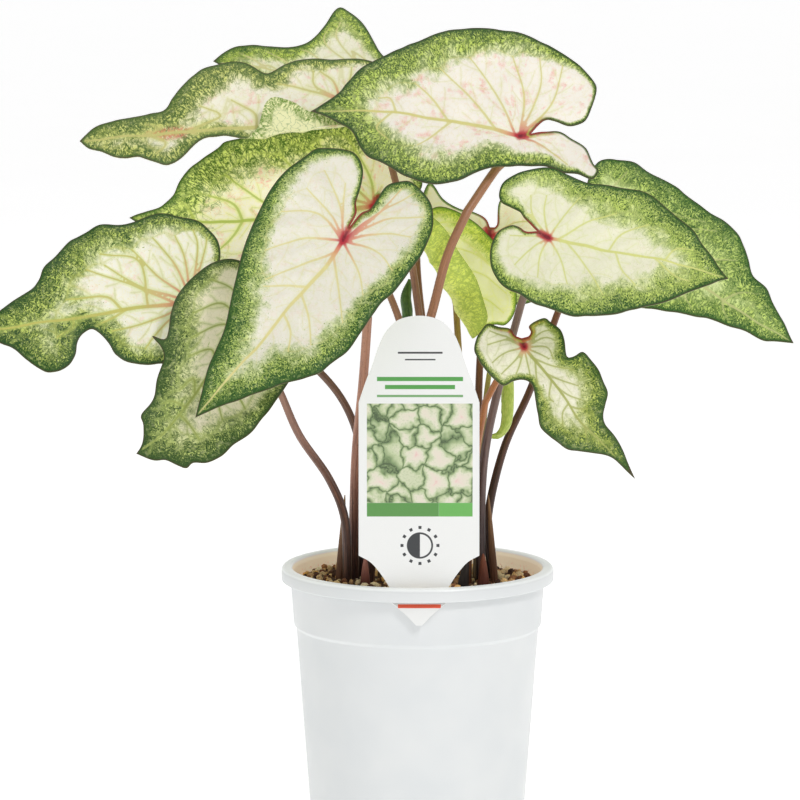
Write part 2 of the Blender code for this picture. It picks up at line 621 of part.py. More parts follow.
def apply_modifiers(thing):
    graph = bpy.context.evaluated_depsgraph_get()
    mesh = bpy.data.meshes.new_from_object(thing.evaluated_get(graph))
    thing.modifiers.clear()
    old = thing.data
    thing.data = mesh
    bpy.data.meshes.remove(old)


def boolean(thing, operation, others, solver="EXACT"):
    """Cuts the other objects out of a thing, or joins them to it, and removes them."""
    tools = bpy.data.collections.new("tools")
    bpy.context.scene.collection.children.link(tools)
    for other in others:
        for owner in list(other.users_collection):
            owner.objects.unlink(other)
        tools.objects.link(other)
    change = thing.modifiers.new("change", "BOOLEAN")
    change.operation = operation
    change.solver = solver
    change.operand_type = "COLLECTION"
    change.collection = tools
    apply_modifiers(thing)
    for other in others:
        bpy.data.objects.remove(other, do_unlink=True)
    bpy.data.collections.remove(tools)


def tag_place():
    """The place function of the tag: its drawing bent to the line that it follows."""
    line = smooth_line([Vector(p) for p in TAG_LINE], 2.0)

    def place(across, height):
        pairs = list(zip(line, line[1:]))
        above, below = next((pair for pair in pairs if pair[1].y <= height), pairs[-1])
        share = (height - below.y) / (above.y - below.y)
        return Vector((across, below.x + (above.x - below.x) * share, height))

    return place


def make_tag():
    right = [Vector((TAG_ACROSS + x, y)) for x, y in TAG_HALF]
    left = [Vector((TAG_ACROSS - x, y)) for x, y in TAG_HALF[1:-1]]
    bends = [[Vector((TAG_ACROSS - half, height)), Vector((TAG_ACROSS + half, height))]
             for height, half in TAG_BENDS]
    flat, faces = flat_net(left + right[::-1], bends, TAG_GRID)
    verts, shell = thick_sheet(flat, faces, tag_place(), TAG_THICKNESS)
    return object_from("tag", verts, shell, COLOURS["tag"], 0.35, smooth=False)


def slot_cutter():
    """The space that the tag needs where it passes through the wall."""
    half = SLOT_HALF_WIDTH
    low, high = POT_HEIGHT - SLOT_BOTTOM_BELOW_RIM, POT_HEIGHT - SLOT_TOP_BELOW_RIM
    corners = [(-half, low), (half, low), (half, high), (-half, high)]
    levels = [low + (high - low) * i / SLOT_LEVELS for i in range(1, SLOT_LEVELS)]
    lines = [[Vector((TAG_ACROSS + side * (half - 0.1), z)) for side in (-1, 1)] for z in levels]
    outline = [Vector((TAG_ACROSS + x, z)) for x, z in corners]
    flat, faces = flat_net(outline, lines, 2 * half)
    verts, shell = thick_sheet(flat, faces, tag_place(), TAG_THICKNESS + 2 * SLOT_CLEARANCE)
    return object_from("slot", verts, shell, COLOURS["tag"])


def make_pot():
    rim, neck = POT_HEIGHT, POT_HEIGHT - LIP_DEPTH
    step = POT_HEIGHT - STEP_BELOW_RIM
    below, above = step - EDGE_ROUND, step + EDGE_ROUND / 2
    core = DRAIN_CIRCLE - 2 * DRAIN_RADIUS
    inner_lip = LIP_RADIUS - LIP_WIDTH
    inner_neck = NECK_RADIUS - WALL
    profile = [
        (core, 0.0), (BASE_RADIUS - EDGE_ROUND, 0.0), (BASE_RADIUS, EDGE_ROUND),
        (wall_radius(below), below), (wall_radius(above), above), (NECK_RADIUS, neck),
        (NECK_RADIUS, rim - LIP_TOP), (LIP_RADIUS - WALL, rim - LIP_TOP), (LIP_RADIUS - WALL, neck),
        (LIP_RADIUS - 0.2 * EDGE_ROUND, neck), (LIP_RADIUS, neck + EDGE_ROUND),
        (LIP_RADIUS, rim - 2 * EDGE_ROUND), (LIP_RADIUS - 0.6 * EDGE_ROUND, rim - 0.6 * EDGE_ROUND),
        (LIP_RADIUS - 2 * EDGE_ROUND, rim), (inner_lip + 0.8 * EDGE_ROUND, rim),
        (inner_lip, rim - 0.8 * EDGE_ROUND), (inner_neck, rim - LIP_TOP - 0.4 * EDGE_ROUND),
        (inner_neck, neck), (wall_radius(above) - WALL, above), (wall_radius(below) - WALL, below),
        (wall_radius(FLOOR) - WALL, FLOOR), (core, FLOOR),
    ]
    pot = turned("pot", profile, COLOURS["pot"], 0.3)
    close_floor(pot)
    cutters = []
    for i in range(DRAIN_HOLES):
        angle = math.tau * (i + 0.5) / DRAIN_HOLES
        x, y = DRAIN_CIRCLE * math.cos(angle), DRAIN_CIRCLE * math.sin(angle)
        verts, faces = tube([Vector((x, y, -2.0)), Vector((x, y, FLOOR + 2.0))], [DRAIN_RADIUS] * 2, 12)
        cutters.append(object_from("drain", verts, faces, COLOURS["pot"]))
    boolean(pot, "DIFFERENCE", cutters + [slot_cutter()])
    smooth_by_angle(pot)
    return pot


def close_floor(pot):
    """Closes the middle of a turned solid, whose profile ends short of the axis."""
    work = bmesh.new()
    work.from_mesh(pot.data)
    inner = min(math.hypot(v.co.x, v.co.y) for v in work.verts)
    middle = [f for f in work.faces if all(math.hypot(v.co.x, v.co.y) < inner + 1e-5 for v in f.verts)]
    bmesh.ops.delete(work, geom=middle, context="FACES_ONLY")
    bmesh.ops.holes_fill(work, edges=[e for e in work.edges if e.is_boundary], sides=0)
    bmesh.ops.recalc_face_normals(work, faces=work.faces)
    work.to_mesh(pot.data)
    work.free()


def smooth_by_angle(thing):
    thing.data.shade_smooth()
    thing.data.set_sharp_from_angle(angle=SHARP_ANGLE)


def make_soil():
    step = POT_HEIGHT - STEP_BELOW_RIM
    top = POT_HEIGHT - SOIL_BELOW_RIM
    clear = WALL + GAP
    levels = [(wall_radius(FLOOR) - clear, FLOOR + GAP), (wall_radius(step - 1.0) - clear, step - 1.2),
              (wall_radius(step + 0.5) - clear, step + 0.6), (wall_radius(top) - clear, top)]
    outer = levels[-1][0]
    turns = [math.tau * k / ROUND_STEPS for k in range(ROUND_STEPS)]
    outline = [Vector((outer * math.cos(a), outer * math.sin(a))) for a in turns]
    flat, net = flat_net(outline, [], SOIL_GRID)
    edge = outer - 0.5
    verts = [(p.x, p.y, soil_height(p.x, p.y) if p.length < edge else top) for p in flat]
    faces = list(net)
    rim = [min(range(len(flat)), key=lambda i: (flat[i] - point).length) for point in outline]
    for radius, height in reversed(levels[:-1]):
        first = len(verts)
        verts += [(radius * math.cos(a), radius * math.sin(a), height) for a in turns]
        ring = list(range(first, first + ROUND_STEPS))
        for k in range(ROUND_STEPS):
            following = (k + 1) % ROUND_STEPS
            faces.append((rim[k], ring[k], ring[following], rim[following]))
        rim = ring
    faces.append(tuple(reversed(rim)))
    soil = object_from("soil", verts, faces, COLOURS["soil"], 0.9)
    boolean(soil, "UNION", soil_lumps(outer))
    boolean(soil, "DIFFERENCE", hole_shapes())
    soil.data.shade_flat()
    return soil


def soil_lumps(outer):
    """Granules on the soil, placed at random clear of the stalks and the wall."""
    draw = random.Random(LUMP_SEED)
    feet = [Vector(s["foot"]) for group in (STALKS, FURLED, SHEATHS) for s in group.values()]
    lumps = []
    while len(lumps) < LUMP_COUNT:
        size = draw.uniform(*LUMP_SIZES)
        angle, radius = draw.uniform(0, math.tau), (outer - size - 1.0) * math.sqrt(draw.random())
        spot = Vector((radius * math.cos(angle), radius * math.sin(angle)))
        shape = [draw.uniform(*LUMP_STRETCH) for _ in range(3)]
        spin = draw.uniform(0, math.tau)
        if any((spot - foot).length < size + LUMP_TO_STALK for foot in feet):
            continue
        work = bmesh.new()
        bmesh.ops.create_icosphere(work, subdivisions=1, radius=size)
        for v in work.verts:
            x, y = v.co.x * shape[0], v.co.y * shape[1]
            v.co.x = spot.x + x * math.cos(spin) - y * math.sin(spin)
            v.co.y = spot.y + x * math.sin(spin) + y * math.cos(spin)
            v.co.z = soil_height(*spot) + LUMP_RISE * size + v.co.z * shape[2]
        verts = [v.co.copy() for v in work.verts]
        faces = [[v.index for v in f.verts] for f in work.faces]
        work.free()
        lumps.append(object_from("lump", verts, faces, COLOURS["soil"]))
    return lumps


def hole_shapes():
    """Straight plugs, a little wider than each stalk, that leave the holes that the stalks stand in."""
    plugs = []
    top = POT_HEIGHT - SOIL_BELOW_RIM
    radii = [(s["foot"], s["sizes"][0] / 2) for s in STALKS.values()]
    radii += [(r["foot"], r["way"][0][3]) for r in FURLED.values()]
    radii += [(s["foot"], s["radius"]) for s in SHEATHS.values()]
    for (x, y), radius in radii:
        centres = [Vector((x, y, top - STALK_DEPTH - GAP)), Vector((x, y, top + PLUG_ABOVE_SOIL))]
        verts, faces = tube(centres, [radius + HOLE_GAP] * 2, STALK_SIDES)
        plugs.append(object_from("plug", verts, faces, COLOURS["soil"]))
    return plugs


def main():
    clear_scene()
    make_pot()
    make_soil()
    make_tag()
    for name, leaf in LEAVES.items():
        make_blade(name, leaf)
    for name, stalk in STALKS.items():
        make_stalk(name, stalk)
    for name, roll in FURLED.items():
        make_furled(name, roll)
    for name, sheath in SHEATHS.items():
        make_sheath(name, sheath)


main()
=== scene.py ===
# Caladium in a grower's pot: fine leaf blades with veins, stalks, furled leaves, soil, pot and plant tag,
# their materials, the light and the camera. Places and sizes are drawn in mm and built in metres, +Z up.
import math
import random

import bmesh
import bpy
import numpy as np
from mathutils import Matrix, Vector, noise
from mathutils.geometry import delaunay_2d_cdt

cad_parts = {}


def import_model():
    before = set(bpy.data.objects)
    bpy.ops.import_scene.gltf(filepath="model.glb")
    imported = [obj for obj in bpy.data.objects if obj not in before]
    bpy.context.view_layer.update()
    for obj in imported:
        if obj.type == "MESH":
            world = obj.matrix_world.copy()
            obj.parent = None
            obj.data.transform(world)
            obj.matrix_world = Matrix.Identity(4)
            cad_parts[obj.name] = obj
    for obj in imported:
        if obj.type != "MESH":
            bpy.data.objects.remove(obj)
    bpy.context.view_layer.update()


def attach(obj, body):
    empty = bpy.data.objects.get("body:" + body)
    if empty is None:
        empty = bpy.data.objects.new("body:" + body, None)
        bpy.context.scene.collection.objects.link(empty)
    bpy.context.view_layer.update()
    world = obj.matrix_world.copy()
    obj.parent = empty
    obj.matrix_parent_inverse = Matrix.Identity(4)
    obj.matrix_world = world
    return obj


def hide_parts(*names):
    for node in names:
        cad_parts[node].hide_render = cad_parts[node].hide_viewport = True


MM = 0.001

# Pot. The slope of the wall's step reaches so far below and above its height. The round of a corner takes
# no more than CORNER_SHARE of its shorter side, and a smaller one than SMALLEST_ROUND is left sharp.
POT_HEIGHT = 130.0
LIP_RADIUS = 60.0
LIP_DEPTH = 6.0
LIP_WIDTH = 4.6
LIP_ROUND = 2.0
WALL = 1.2
NECK_RADIUS = 56.0
STEP_BELOW_RIM = 26.0
STEP_WIDTH = 1.0
BASE_RADIUS = 46.0
FLOOR = 1.6
DRAIN_HOLES = 6
DRAIN_RADIUS = 4.0
DRAIN_CIRCLE = 31.0
DRAIN_SIDES = 40
DRAIN_OVERRUN = 2.0
LIP_TOP = 2.2
STEP_SLOPE = (1.0, 0.5)
ROUND_STEPS = 160
CORNER_STEPS = 5
CORNER_SHARE = 0.48
SMALLEST_ROUND = 0.02
SHARP_ANGLE = math.radians(32)

# Soil: its surface, how its side follows the step in the wall, and its loose grains. Small grains are more
# common than large ones, and each has its own bumps, stretch and height over the surface.
SOIL_BELOW_RIM = 8.0
SOIL_GRID = 1.7
SOIL_RELIEF = 1.0
SOIL_WAVES = (9.0, 4.0)
SOIL_ROUGHNESS = 0.45
SOIL_STEP = ((0.5, 0.6), (-1.0, -1.2))
GRAIN_COUNT = 1500
GRAIN_SIZES = (0.55, 2.1)
GRAIN_SMALLNESS = 2.2
GRAIN_SEED = 11
GRAIN_CLEAR = 0.4
GRAIN_BUMPS = 0.12
GRAIN_STRETCHES = (0.6, 1.15)
GRAIN_LIFTS = (0.1, 0.75)
GAP = 0.3
STALK_DEPTH = 12.0
STRAIGHT_FOOT = 4.0

# Tag, and the slot that it passes below the lip. The tag's net has rows of points where the tag bends, and
# points of its edge nearer to the middle than TAG_MIDDLE are left out.
TAG_THICKNESS = 0.7
TAG_GRID = 2.6
TAG_EDGE_STEP = 1.0
TAG_MIDDLE = 0.3
TAG_FOLDS = (133.0, 131.0, 129.5, 128.0, 126.5, 125.0, 123.5)
TAG_FOLD_HALF = 8.0
TAG_FOLD_POINTS = 9
SLOT_CLEARANCE = 0.45
SLOT_HALF_WIDTH = 13.4
SLOT_TOP_BELOW_RIM = 1.8
SLOT_BOTTOM_BELOW_RIM = 9.0
SLOT_LEVELS = 12
SLOT_INSET = 0.1

# Leaves: the blades' sheets, nets and waves, the stalks and their ends inside the blades, and how far the
# patterns of one blade or stalk are shifted from those of the next
BLADE_THICKNESS = 0.7
EDGE_THICKNESS = 0.35
MIDDLE_THICKNESS = 0.6
EDGE_TAPER = 5.0
BLADE_GRID = 1.05
MARGIN_STEP = 1.0
VEIN_STEP = 1.2
TROUGH_POWER = 1.3
WAVE_POWER = 1.5
WAVE_REACH = 30.0
WAVE_SHIFT = 1.3
STALK_SIDES = 20
STALK_STEP = 3.0
NECK_LENGTH = 11.0
PROBE = 0.05
END_INSIDE = 0.12
FILL_CLEAR = 0.55
JOIN = 1e-4
LEAF_SHIFT = 37.0
STALK_SHIFT = 40.0

# Relief of the blades: how far the surface swells between the veins, how it ripples along the margin, and
# how far the veins stand out below. It is still at the junction and fades out at the margin. A blade of
# FULL_SIZE mm or more has the full relief, a smaller one less of it.
FULL_SIZE = 110.0
SMALLEST_SHARE = 0.55
STILL = (1.0, 7.0)
PUFF = 1.0
PUFF_REACH = 5.0
SMALL_PUFF = 0.16
SMALL_PUFF_REACH = 1.3
PUFF_FADE = 5.0
RIPPLE = 0.22
RIPPLE_LENGTH = 16.0
RIPPLE_REACH = 4.5
UNEVEN = 0.7
SWELL_SIZES = (31.0, 19.0, 13.0)
SWELL_TURN = 1.7
SWELL_SHIFT = 2.1
RIB_RAISE = 0.7
RIB_SPREAD = 1.5
VEIN_RAISE = 0.35
VEIN_SPREAD = 0.9
RAISE_FADE = 3.0
HEART_REACH = 0.8

# Veins: half widths at the start and the end of the midrib, the side veins and the small ones, the clear
# space at the margin, the fan of a blade without drawn veins, and the small branches and loops.
RIB_WIDTHS = (1.15, 0.35)
VEIN_WIDTHS = (0.62, 0.25)
SMALL_WIDTHS = (0.26, 0.2)
FAR = 99.0
FAR_BLUSH = 9.0
FEWEST_POINTS = 4
VEIN_MARGIN = 1.6
LONGEST_RAY = 160.0
FAN_ANGLES = (32, 62, 95, 128, 155)
RIB_ANGLE = 42
RIB_SHARES = (0.2, 0.42, 0.65)
VEIN_REACH = 0.84
VEIN_BEND = 0.22
SHORTEST_VEIN = 6.0
BRANCH_GAP = 5.0
BRANCH_UNEVEN = (0.7, 1.3)
BRANCH_ANGLES = (38, 68)
BRANCH_LENGTHS = (4.0, 13.0)
BRANCH_BEND = 0.06
BRANCH_CLEAR = 1.1
BRANCH_END = 2.0
LOOP_GAPS = (4.0, 26.0)
LOOP_ROOM = 0.2
LOOP_BULGE = 0.16

# Furled leaves and sheaths
FURL_STEP = 1.5
ROLL_STARTS = {"furled_right": 0.64, "furled_centre": 0.62}
ROLL_GROWTH = 0.06
ROLL_SIDES = 28
ROLL_TWIST = 1.3
ROLL_STEP = 0.22
SHEATH_STEP = 1.2
SHEATH_RIBS = 0.07
SHEATH_RIB_COUNT = 9
SHEATH_CREASE = 0.12
SHEATH_TIP = 0.12

# The leaves are drawn as seen from the front: millimetres across and up on a sheet through the centre of
# the rim, which leans back so that it faces an eye EYE_DISTANCE away and a little above the plant. A third
# number tells how far behind that sheet a point lies, along the line from the eye.
EYE_DISTANCE = 1500.0
EYE_PITCH = math.radians(7.2)
EYE_ACROSS = -7.7
EYE_UP = 72.8
RIM_CENTRE = np.array([0.0, 0.0, POT_HEIGHT])
SHEET_ACROSS = np.array([1.0, 0.0, 0.0])
SHEET_UP = np.array([0.0, math.sin(EYE_PITCH), math.cos(EYE_PITCH)])
SHEET_BACK = np.array([0.0, math.cos(EYE_PITCH), -math.sin(EYE_PITCH)])
EYE = RIM_CENTRE + SHEET_ACROSS * EYE_ACROSS + SHEET_UP * EYE_UP - SHEET_BACK * EYE_DISTANCE
LENS = 153.0

# Each leaf: the junction of blade and stalk, how far behind the sheet it lies, the tip, the notch between
# the lobes, both margins from the notch to the tip, the midrib between junction and tip, the slope of the
# blade (mm back for each mm across and up), its bow along the midrib, its trough across it, and its waves.
LEAVES = {
    "front": {
        "junction": (-33, 143), "behind": -60, "notch": (-30, 149), "tip": (-98, 65),
        "left": [(-27, 155), (-27, 160), (-25, 167), (-24, 174), (-26, 180), (-31, 183), (-43, 184),
                 (-50, 180), (-58, 174), (-64, 167), (-69, 158), (-76, 142), (-81, 123), (-85, 105),
                 (-89, 95), (-93, 85)],
        "right": [(-25, 155), (-21, 157), (-18, 161), (-14, 167), (-9, 169), (-3, 169), (2, 165), (6, 159),
                  (7, 152), (6, 146), (2, 137), (-4, 129), (-10, 121), (-17, 114), (-26, 101), (-31, 94),
                  (-38, 89), (-45, 84), (-62, 79), (-81, 72), (-89, 69)],
        "midrib": [(-40, 132), (-50, 121), (-58, 112), (-69, 98), (-81, 85)],
        "slope": (0.12, 0.45), "bow": 0.0018, "trough": 0.05, "wave": (1.2, 38, 0.4),
    },
    "top": {
        "junction": (45, 189), "behind": 0, "notch": (50, 190), "tip": (-47, 200),
        "left": [(56, 191), (63, 191), (68, 188), (74, 184), (78, 177), (80, 174), (77, 170), (71, 172),
                 (64, 173), (56, 176), (48, 176), (35, 176), (24, 172), (16, 169), (7, 168), (-2, 170),
                 (-11, 175), (-21, 180), (-25, 184), (-29, 191), (-35, 195), (-41, 198)],
        "right": [(56, 196), (61, 196), (68, 194), (74, 196), (77, 202), (79, 209), (78, 213), (73, 219),
                  (64, 226), (54, 231), (44, 235), (35, 236), (24, 237), (16, 236), (7, 234), (-3, 230),
                  (-13, 225), (-24, 220), (-31, 213), (-36, 207)],
        "midrib": [(25, 194), (11, 196), (-7, 199), (-21, 200)],
        "slope": (0.12, 0.9), "bow": 0.0016, "trough": 0.05, "wave": (1.5, 42, 1.0),
    },
    "right": {
        "junction": (58, 144), "behind": -38, "notch": (53, 147), "tip": (137, 126),
        "left": [(48, 147), (45, 149), (41, 150), (36, 147), (33, 142), (32, 136), (33, 130), (37, 124),
                 (44, 120), (52, 115), (61, 112), (70, 110), (80, 110), (96, 113), (106, 115), (114, 118),
                 (129, 124)],
        "right": [(50, 150), (47, 153), (45, 156), (41, 158), (37, 160), (36, 164), (38, 169), (45, 173),
                  (53, 175), (60, 175), (67, 172), (74, 169), (81, 168), (91, 166), (99, 165), (106, 161),
                  (114, 154), (121, 148), (126, 141), (132, 133)],
        "midrib": [(73, 141), (85, 138), (99, 136), (113, 133), (125, 130)],
        "slope": (-0.2, 0.75), "bow": 0.0022, "trough": 0.06, "wave": (1.2, 40, 0.0),
    },
    "far_right": {
        "junction": (81, 151), "behind": 38, "notch": (78, 156), "tip": (166, 98),
        "left": [(70, 154), (66, 144), (68, 132), (76, 122), (88, 115), (101, 113), (116, 111), (126, 109),
                 (136, 106), (145, 103), (154, 99)],
        "right": [(74, 162), (76, 172), (80, 178), (87, 179), (95, 178), (101, 174), (108, 170), (115, 166),
                  (127, 157), (135, 152), (141, 146), (144, 141), (146, 135), (148, 128), (154, 122),
                  (157, 115), (162, 106)],
        "midrib": [(100, 140), (120, 127), (140, 113), (155, 104)],
        "slope": (0.12, 0.8), "bow": 0.0018, "trough": 0.06, "wave": (1.8, 36, 0.6),
    },
    "left": {
        "junction": (-100, 117), "behind": -24, "notch": (-95, 121), "tip": (-197, 103),
        "left": [(-90, 124), (-87, 135), (-88, 143), (-92, 148), (-97, 152), (-106, 154), (-115, 155),
                 (-126, 151), (-132, 150), (-140, 150), (-146, 147), (-153, 143), (-160, 136), (-165, 131),
                 (-167, 126), (-171, 121), (-179, 116), (-184, 112)],
        "right": [(-90, 114), (-87, 104), (-92, 94), (-102, 90), (-112, 89), (-122, 89), (-129, 90),
                  (-133, 93), (-136, 98), (-140, 102), (-144, 104), (-148, 102), (-150, 98), (-151, 92),
                  (-155, 87), (-162, 85), (-167, 87), (-173, 91), (-179, 96), (-184, 98)],
        "midrib": [(-107, 115), (-125, 113), (-142, 110), (-163, 107), (-184, 104)],
        "slope": (0.2, 0.75), "bow": 0.0018, "trough": 0.06, "wave": (2.0, 44, 2.2),
    },
    "low_left": {
        "junction": (-75, 103), "behind": -46, "notch": (-68, 108), "tip": (-124, 49),
        "left": [(-66, 116), (-69, 128), (-77, 134), (-84, 135), (-91, 133), (-98, 128), (-103, 123),
                 (-107, 117), (-109, 110), (-111, 100), (-117, 101), (-113, 96), (-112, 91), (-115, 82),
                 (-116, 75), (-118, 71), (-122, 66), (-121, 62), (-121, 56), (-122, 52)],
        "right": [(-60, 107), (-54, 98), (-53, 88), (-58, 79), (-64, 70), (-69, 64), (-74, 58), (-81, 53),
                  (-87, 48), (-93, 45), (-99, 45), (-102, 43), (-106, 44), (-111, 46), (-116, 46)],
        "midrib": [(-88, 89), (-99, 74), (-106, 65), (-114, 56)],
        "slope": (0.15, 0.6), "bow": 0.002, "trough": 0.08, "wave": (1.8, 30, 0.8),
    },
    "mid_left": {
        "junction": (-19, 158), "behind": 30, "notch": (-17, 162), "tip": (-127, 153),
        "left": [(-8, 160), (0, 164), (2, 170), (-4, 182), (-14, 191), (-32, 195), (-39, 195), (-48, 193),
                 (-65, 191), (-73, 189), (-84, 187), (-88, 184), (-94, 180), (-100, 175), (-105, 169),
                 (-108, 163), (-113, 158), (-120, 156)],
        "right": [(-10, 156), (-6, 146), (-8, 134), (-20, 123), (-36, 117), (-54, 114), (-72, 114),
                  (-84, 118), (-94, 126), (-104, 136), (-114, 145)],
        "midrib": [(-38, 156), (-60, 153), (-85, 151), (-108, 152)],
        "slope": (0.06, 0.65), "bow": 0.0014, "trough": 0.05, "wave": (1.6, 40, 0.2),
    },
    "upper_left": {
        "junction": (-34, 205), "behind": 30, "notch": (-25, 206), "tip": (-149, 187),
        "left": [(-17, 209), (-14, 215), (-18, 221), (-25, 223), (-38, 223), (-50, 223), (-56, 222),
                 (-63, 218), (-67, 217), (-73, 220), (-80, 222), (-88, 221), (-95, 219), (-103, 212),
                 (-108, 206), (-112, 201), (-122, 198), (-133, 196), (-143, 193)],
        "right": [(-17, 203), (-13, 196), (-17, 188), (-26, 184), (-36, 183), (-46, 178), (-51, 173),
                  (-56, 169), (-60, 168), (-64, 171), (-67, 177), (-70, 182), (-77, 187), (-88, 189),
                  (-95, 188), (-100, 184), (-104, 180), (-108, 177), (-112, 176), (-120, 179),
                  (-124, 180), (-133, 180), (-139, 182), (-145, 184)],
        "midrib": [(-55, 203), (-75, 200), (-98, 195), (-125, 190)],
        "slope": (0.05, 1.1), "bow": 0.0012, "trough": 0.05, "wave": (1.8, 40, 1.4),
        "fold": {"from": (-92, 189), "to": (-20, 197), "turn": 150, "radius": 2.6, "start": 16},
    },
    "topmost": {
        "junction": (-20, 214), "behind": 62, "notch": (-14, 218), "tip": (-90, 222),
        "left": [(-9, 214), (-9, 208), (-18, 204), (-30, 203), (-45, 204), (-60, 208), (-75, 215)],
        "right": [(-13, 222), (-17, 227), (-22, 236), (-26, 241), (-31, 245), (-34, 246), (-37, 244),
                  (-41, 238), (-45, 233), (-51, 229), (-57, 228), (-66, 229), (-75, 229), (-82, 228)],
        "midrib": [(-35, 215), (-55, 217), (-75, 220)],
        "slope": (-0.1, 0.9), "bow": 0.0018, "trough": 0.06, "wave": (1.6, 34, 0.5),
    },
    "small_right": {
        "junction": (47, 96), "behind": -44, "notch": (46, 100), "tip": (96, 38),
        "left": [(43, 101), (41, 104), (36, 105), (31, 106), (28, 103), (26, 100), (25, 95), (27, 90),
                 (30, 86), (34, 82), (38, 79), (42, 81), (46, 82), (49, 81), (51, 78), (52, 73), (53, 67),
                 (54, 61), (58, 57), (62, 54), (67, 51), (73, 50), (84, 48), (90, 44)],
        "right": [(49, 101), (50, 103), (49, 105), (51, 107), (56, 109), (59, 107), (63, 104), (65, 99),
                  (66, 92), (69, 92), (73, 94), (77, 90), (80, 86), (82, 81), (84, 76), (83, 71),
                  (82, 66), (83, 62), (87, 57), (90, 52), (93, 45)],
        "midrib": [(57, 84), (66, 72), (72, 63), (81, 54)],
        "slope": (-0.1, 0.5), "bow": 0.003, "trough": 0.08, "wave": (1.6, 26, 0.9),
    },
    "young": {
        "junction": (4, 150), "behind": 14, "notch": (2, 155), "tip": (23.5, 99.5),
        "left": [(-4, 159), (-11, 154), (-15, 144), (-14, 135), (-10, 126), (-5, 115), (-1, 108),
                 (5, 101), (9, 97), (14, 96), (19, 97)],
        "right": [(9, 158), (16, 156.5), (22, 153.5), (29, 148), (35, 141.5), (40, 133), (43.5, 122),
                  (43, 112), (39, 106), (34, 106), (29, 104)],
        "midrib": [(12, 138), (19, 126), (23, 112)],
        "slope": (0.1, 0.3), "bow": 0.002, "trough": 0.0, "wave": (0.8, 30, 0.0),
        "fold": {"from": (-4.7, 160), "to": (27, 101.5), "turn": 185, "radius": 3.5, "start": 0},
    },
    "back_centre": {
        "junction": (32, 145), "behind": 44, "notch": (32, 149), "tip": (57, 118),
        "left": [(30, 153), (24, 156), (19, 157), (12, 161), (6, 168), (3, 165), (2, 158), (6, 148),
                 (13, 138), (22, 128), (34, 119), (45, 115)],
        "right": [(35, 150), (36, 160), (42, 166), (52, 164), (60, 156), (62, 144), (61, 131)],
        "midrib": [(38, 138), (45, 130), (51, 124)],
        "slope": (0.05, 0.45), "bow": 0.001, "trough": 0.05, "wave": (1.0, 30, 0.0),
    },
}

# Each stalk: its foot on the soil (x, y), its diameter at the foot and at the blade, and the points that
# it passes on its way up to the blade, on the front sheet with the distance behind it.
STALKS = {
    "front": {"foot": (-28, 9), "sizes": (4.4, 3.8),
              "way": [(-28, 21, 4), (-27, 50, -8), (-24, 81, -24), (-22, 109, -39), (-25, 128, -48)]},
    "top": {"foot": (-21, 3), "sizes": (4.4, 3.8),
            "way": [(-15, 35, -5), (-4, 78, -12), (6, 110, -15), (13, 136, -16), (22, 156, -12),
                    (35, 175, -1)]},
    "right": {"foot": (28, 3), "sizes": (4.2, 3.2),
              "way": [(28, 25, 1), (30, 51, -5), (36, 79, -14), (46, 116, -27), (52, 132, -32)]},
    "far_right": {"foot": (33, 10), "sizes": (4.0, 2.8),
                  "way": [(31, 20, 12), (38, 51, 18), (50, 78, 25), (61, 109, 32), (70, 132, 38)]},
    "left": {"foot": (-25, 14), "sizes": (3.8, 3.0),
             "way": [(-23, 30, 11), (-28, 62, 5), (-43, 85, -3), (-72, 106, -12), (-88, 113, -16)]},
    "low_left": {"foot": (-31, 2), "sizes": (4.2, 3.0),
                 "way": [(-32, 20, -2), (-39, 38, -12), (-52, 57, -26), (-60, 75, -36), (-67, 90, -41)]},
    "mid_left": {"foot": (14, 3), "sizes": (3.8, 3.0),
                 "way": [(10, 40, 2), (1, 80, 4), (-8, 108, 11), (-13, 121, 18), (-15, 138, 29)]},
    "upper_left": {"foot": (16, 9), "sizes": (3.8, 3.0),
                   "way": [(13, 40, 11), (8, 70, 13), (3, 95, 15), (-2, 130, 13), (-7, 158, 17),
                           (-13, 182, 28), (-24, 196, 35)]},
    "topmost": {"foot": (17, 16), "sizes": (3.6, 2.8),
                "way": [(14, 40, 21), (9, 70, 25), (4, 95, 28), (0, 130, 33), (0, 160, 40),
                        (-3, 185, 52), (-11, 203, 64)]},
    "small_right": {"foot": (22, 0), "sizes": (4.0, 2.6),
                    "way": [(23, 25, -3), (26, 50, -12), (30, 72, -24), (38, 86, -35)]},
    "young": {"foot": (22, 12), "sizes": (3.4, 2.8),
              "way": [(21, 40, 15), (19, 80, 20), (17, 115, 25), (11, 138, 24)]},
    "back_centre": {"foot": (28, 15), "sizes": (3.8, 3.0),
                    "way": [(27, 40, 18), (27, 74, 24), (28, 100, 34), (30, 126, 44)]},
}

# Furled leaves: foot, then the points that the roll passes, each with its radius.
FURLED = {
    "furled_right": {"foot": (26, 8),
                     "way": [(27, 30, 12, 1.4), (29, 60, 13, 1.3), (31, 80, 12, 1.2), (33, 90, 11, 1.1),
                             (36.5, 94.5, 10, 1.2), (39.5, 90, 9, 1.7), (40, 80, 9, 2.6),
                             (39.5, 66, 8, 2.7), (38, 60, 7, 2.1), (35, 57, 6.5, 1.5),
                             (31.5, 57, 6, 0.8)]},
    "furled_centre": {"foot": (-16, 10),
                      "way": [(-14, 40, 14, 1.6), (-9, 85, 18, 1.6), (-4.5, 108, 21, 2.4),
                              (-5, 118, 21, 2.4), (-3, 126, 21, 1.0)]},
}

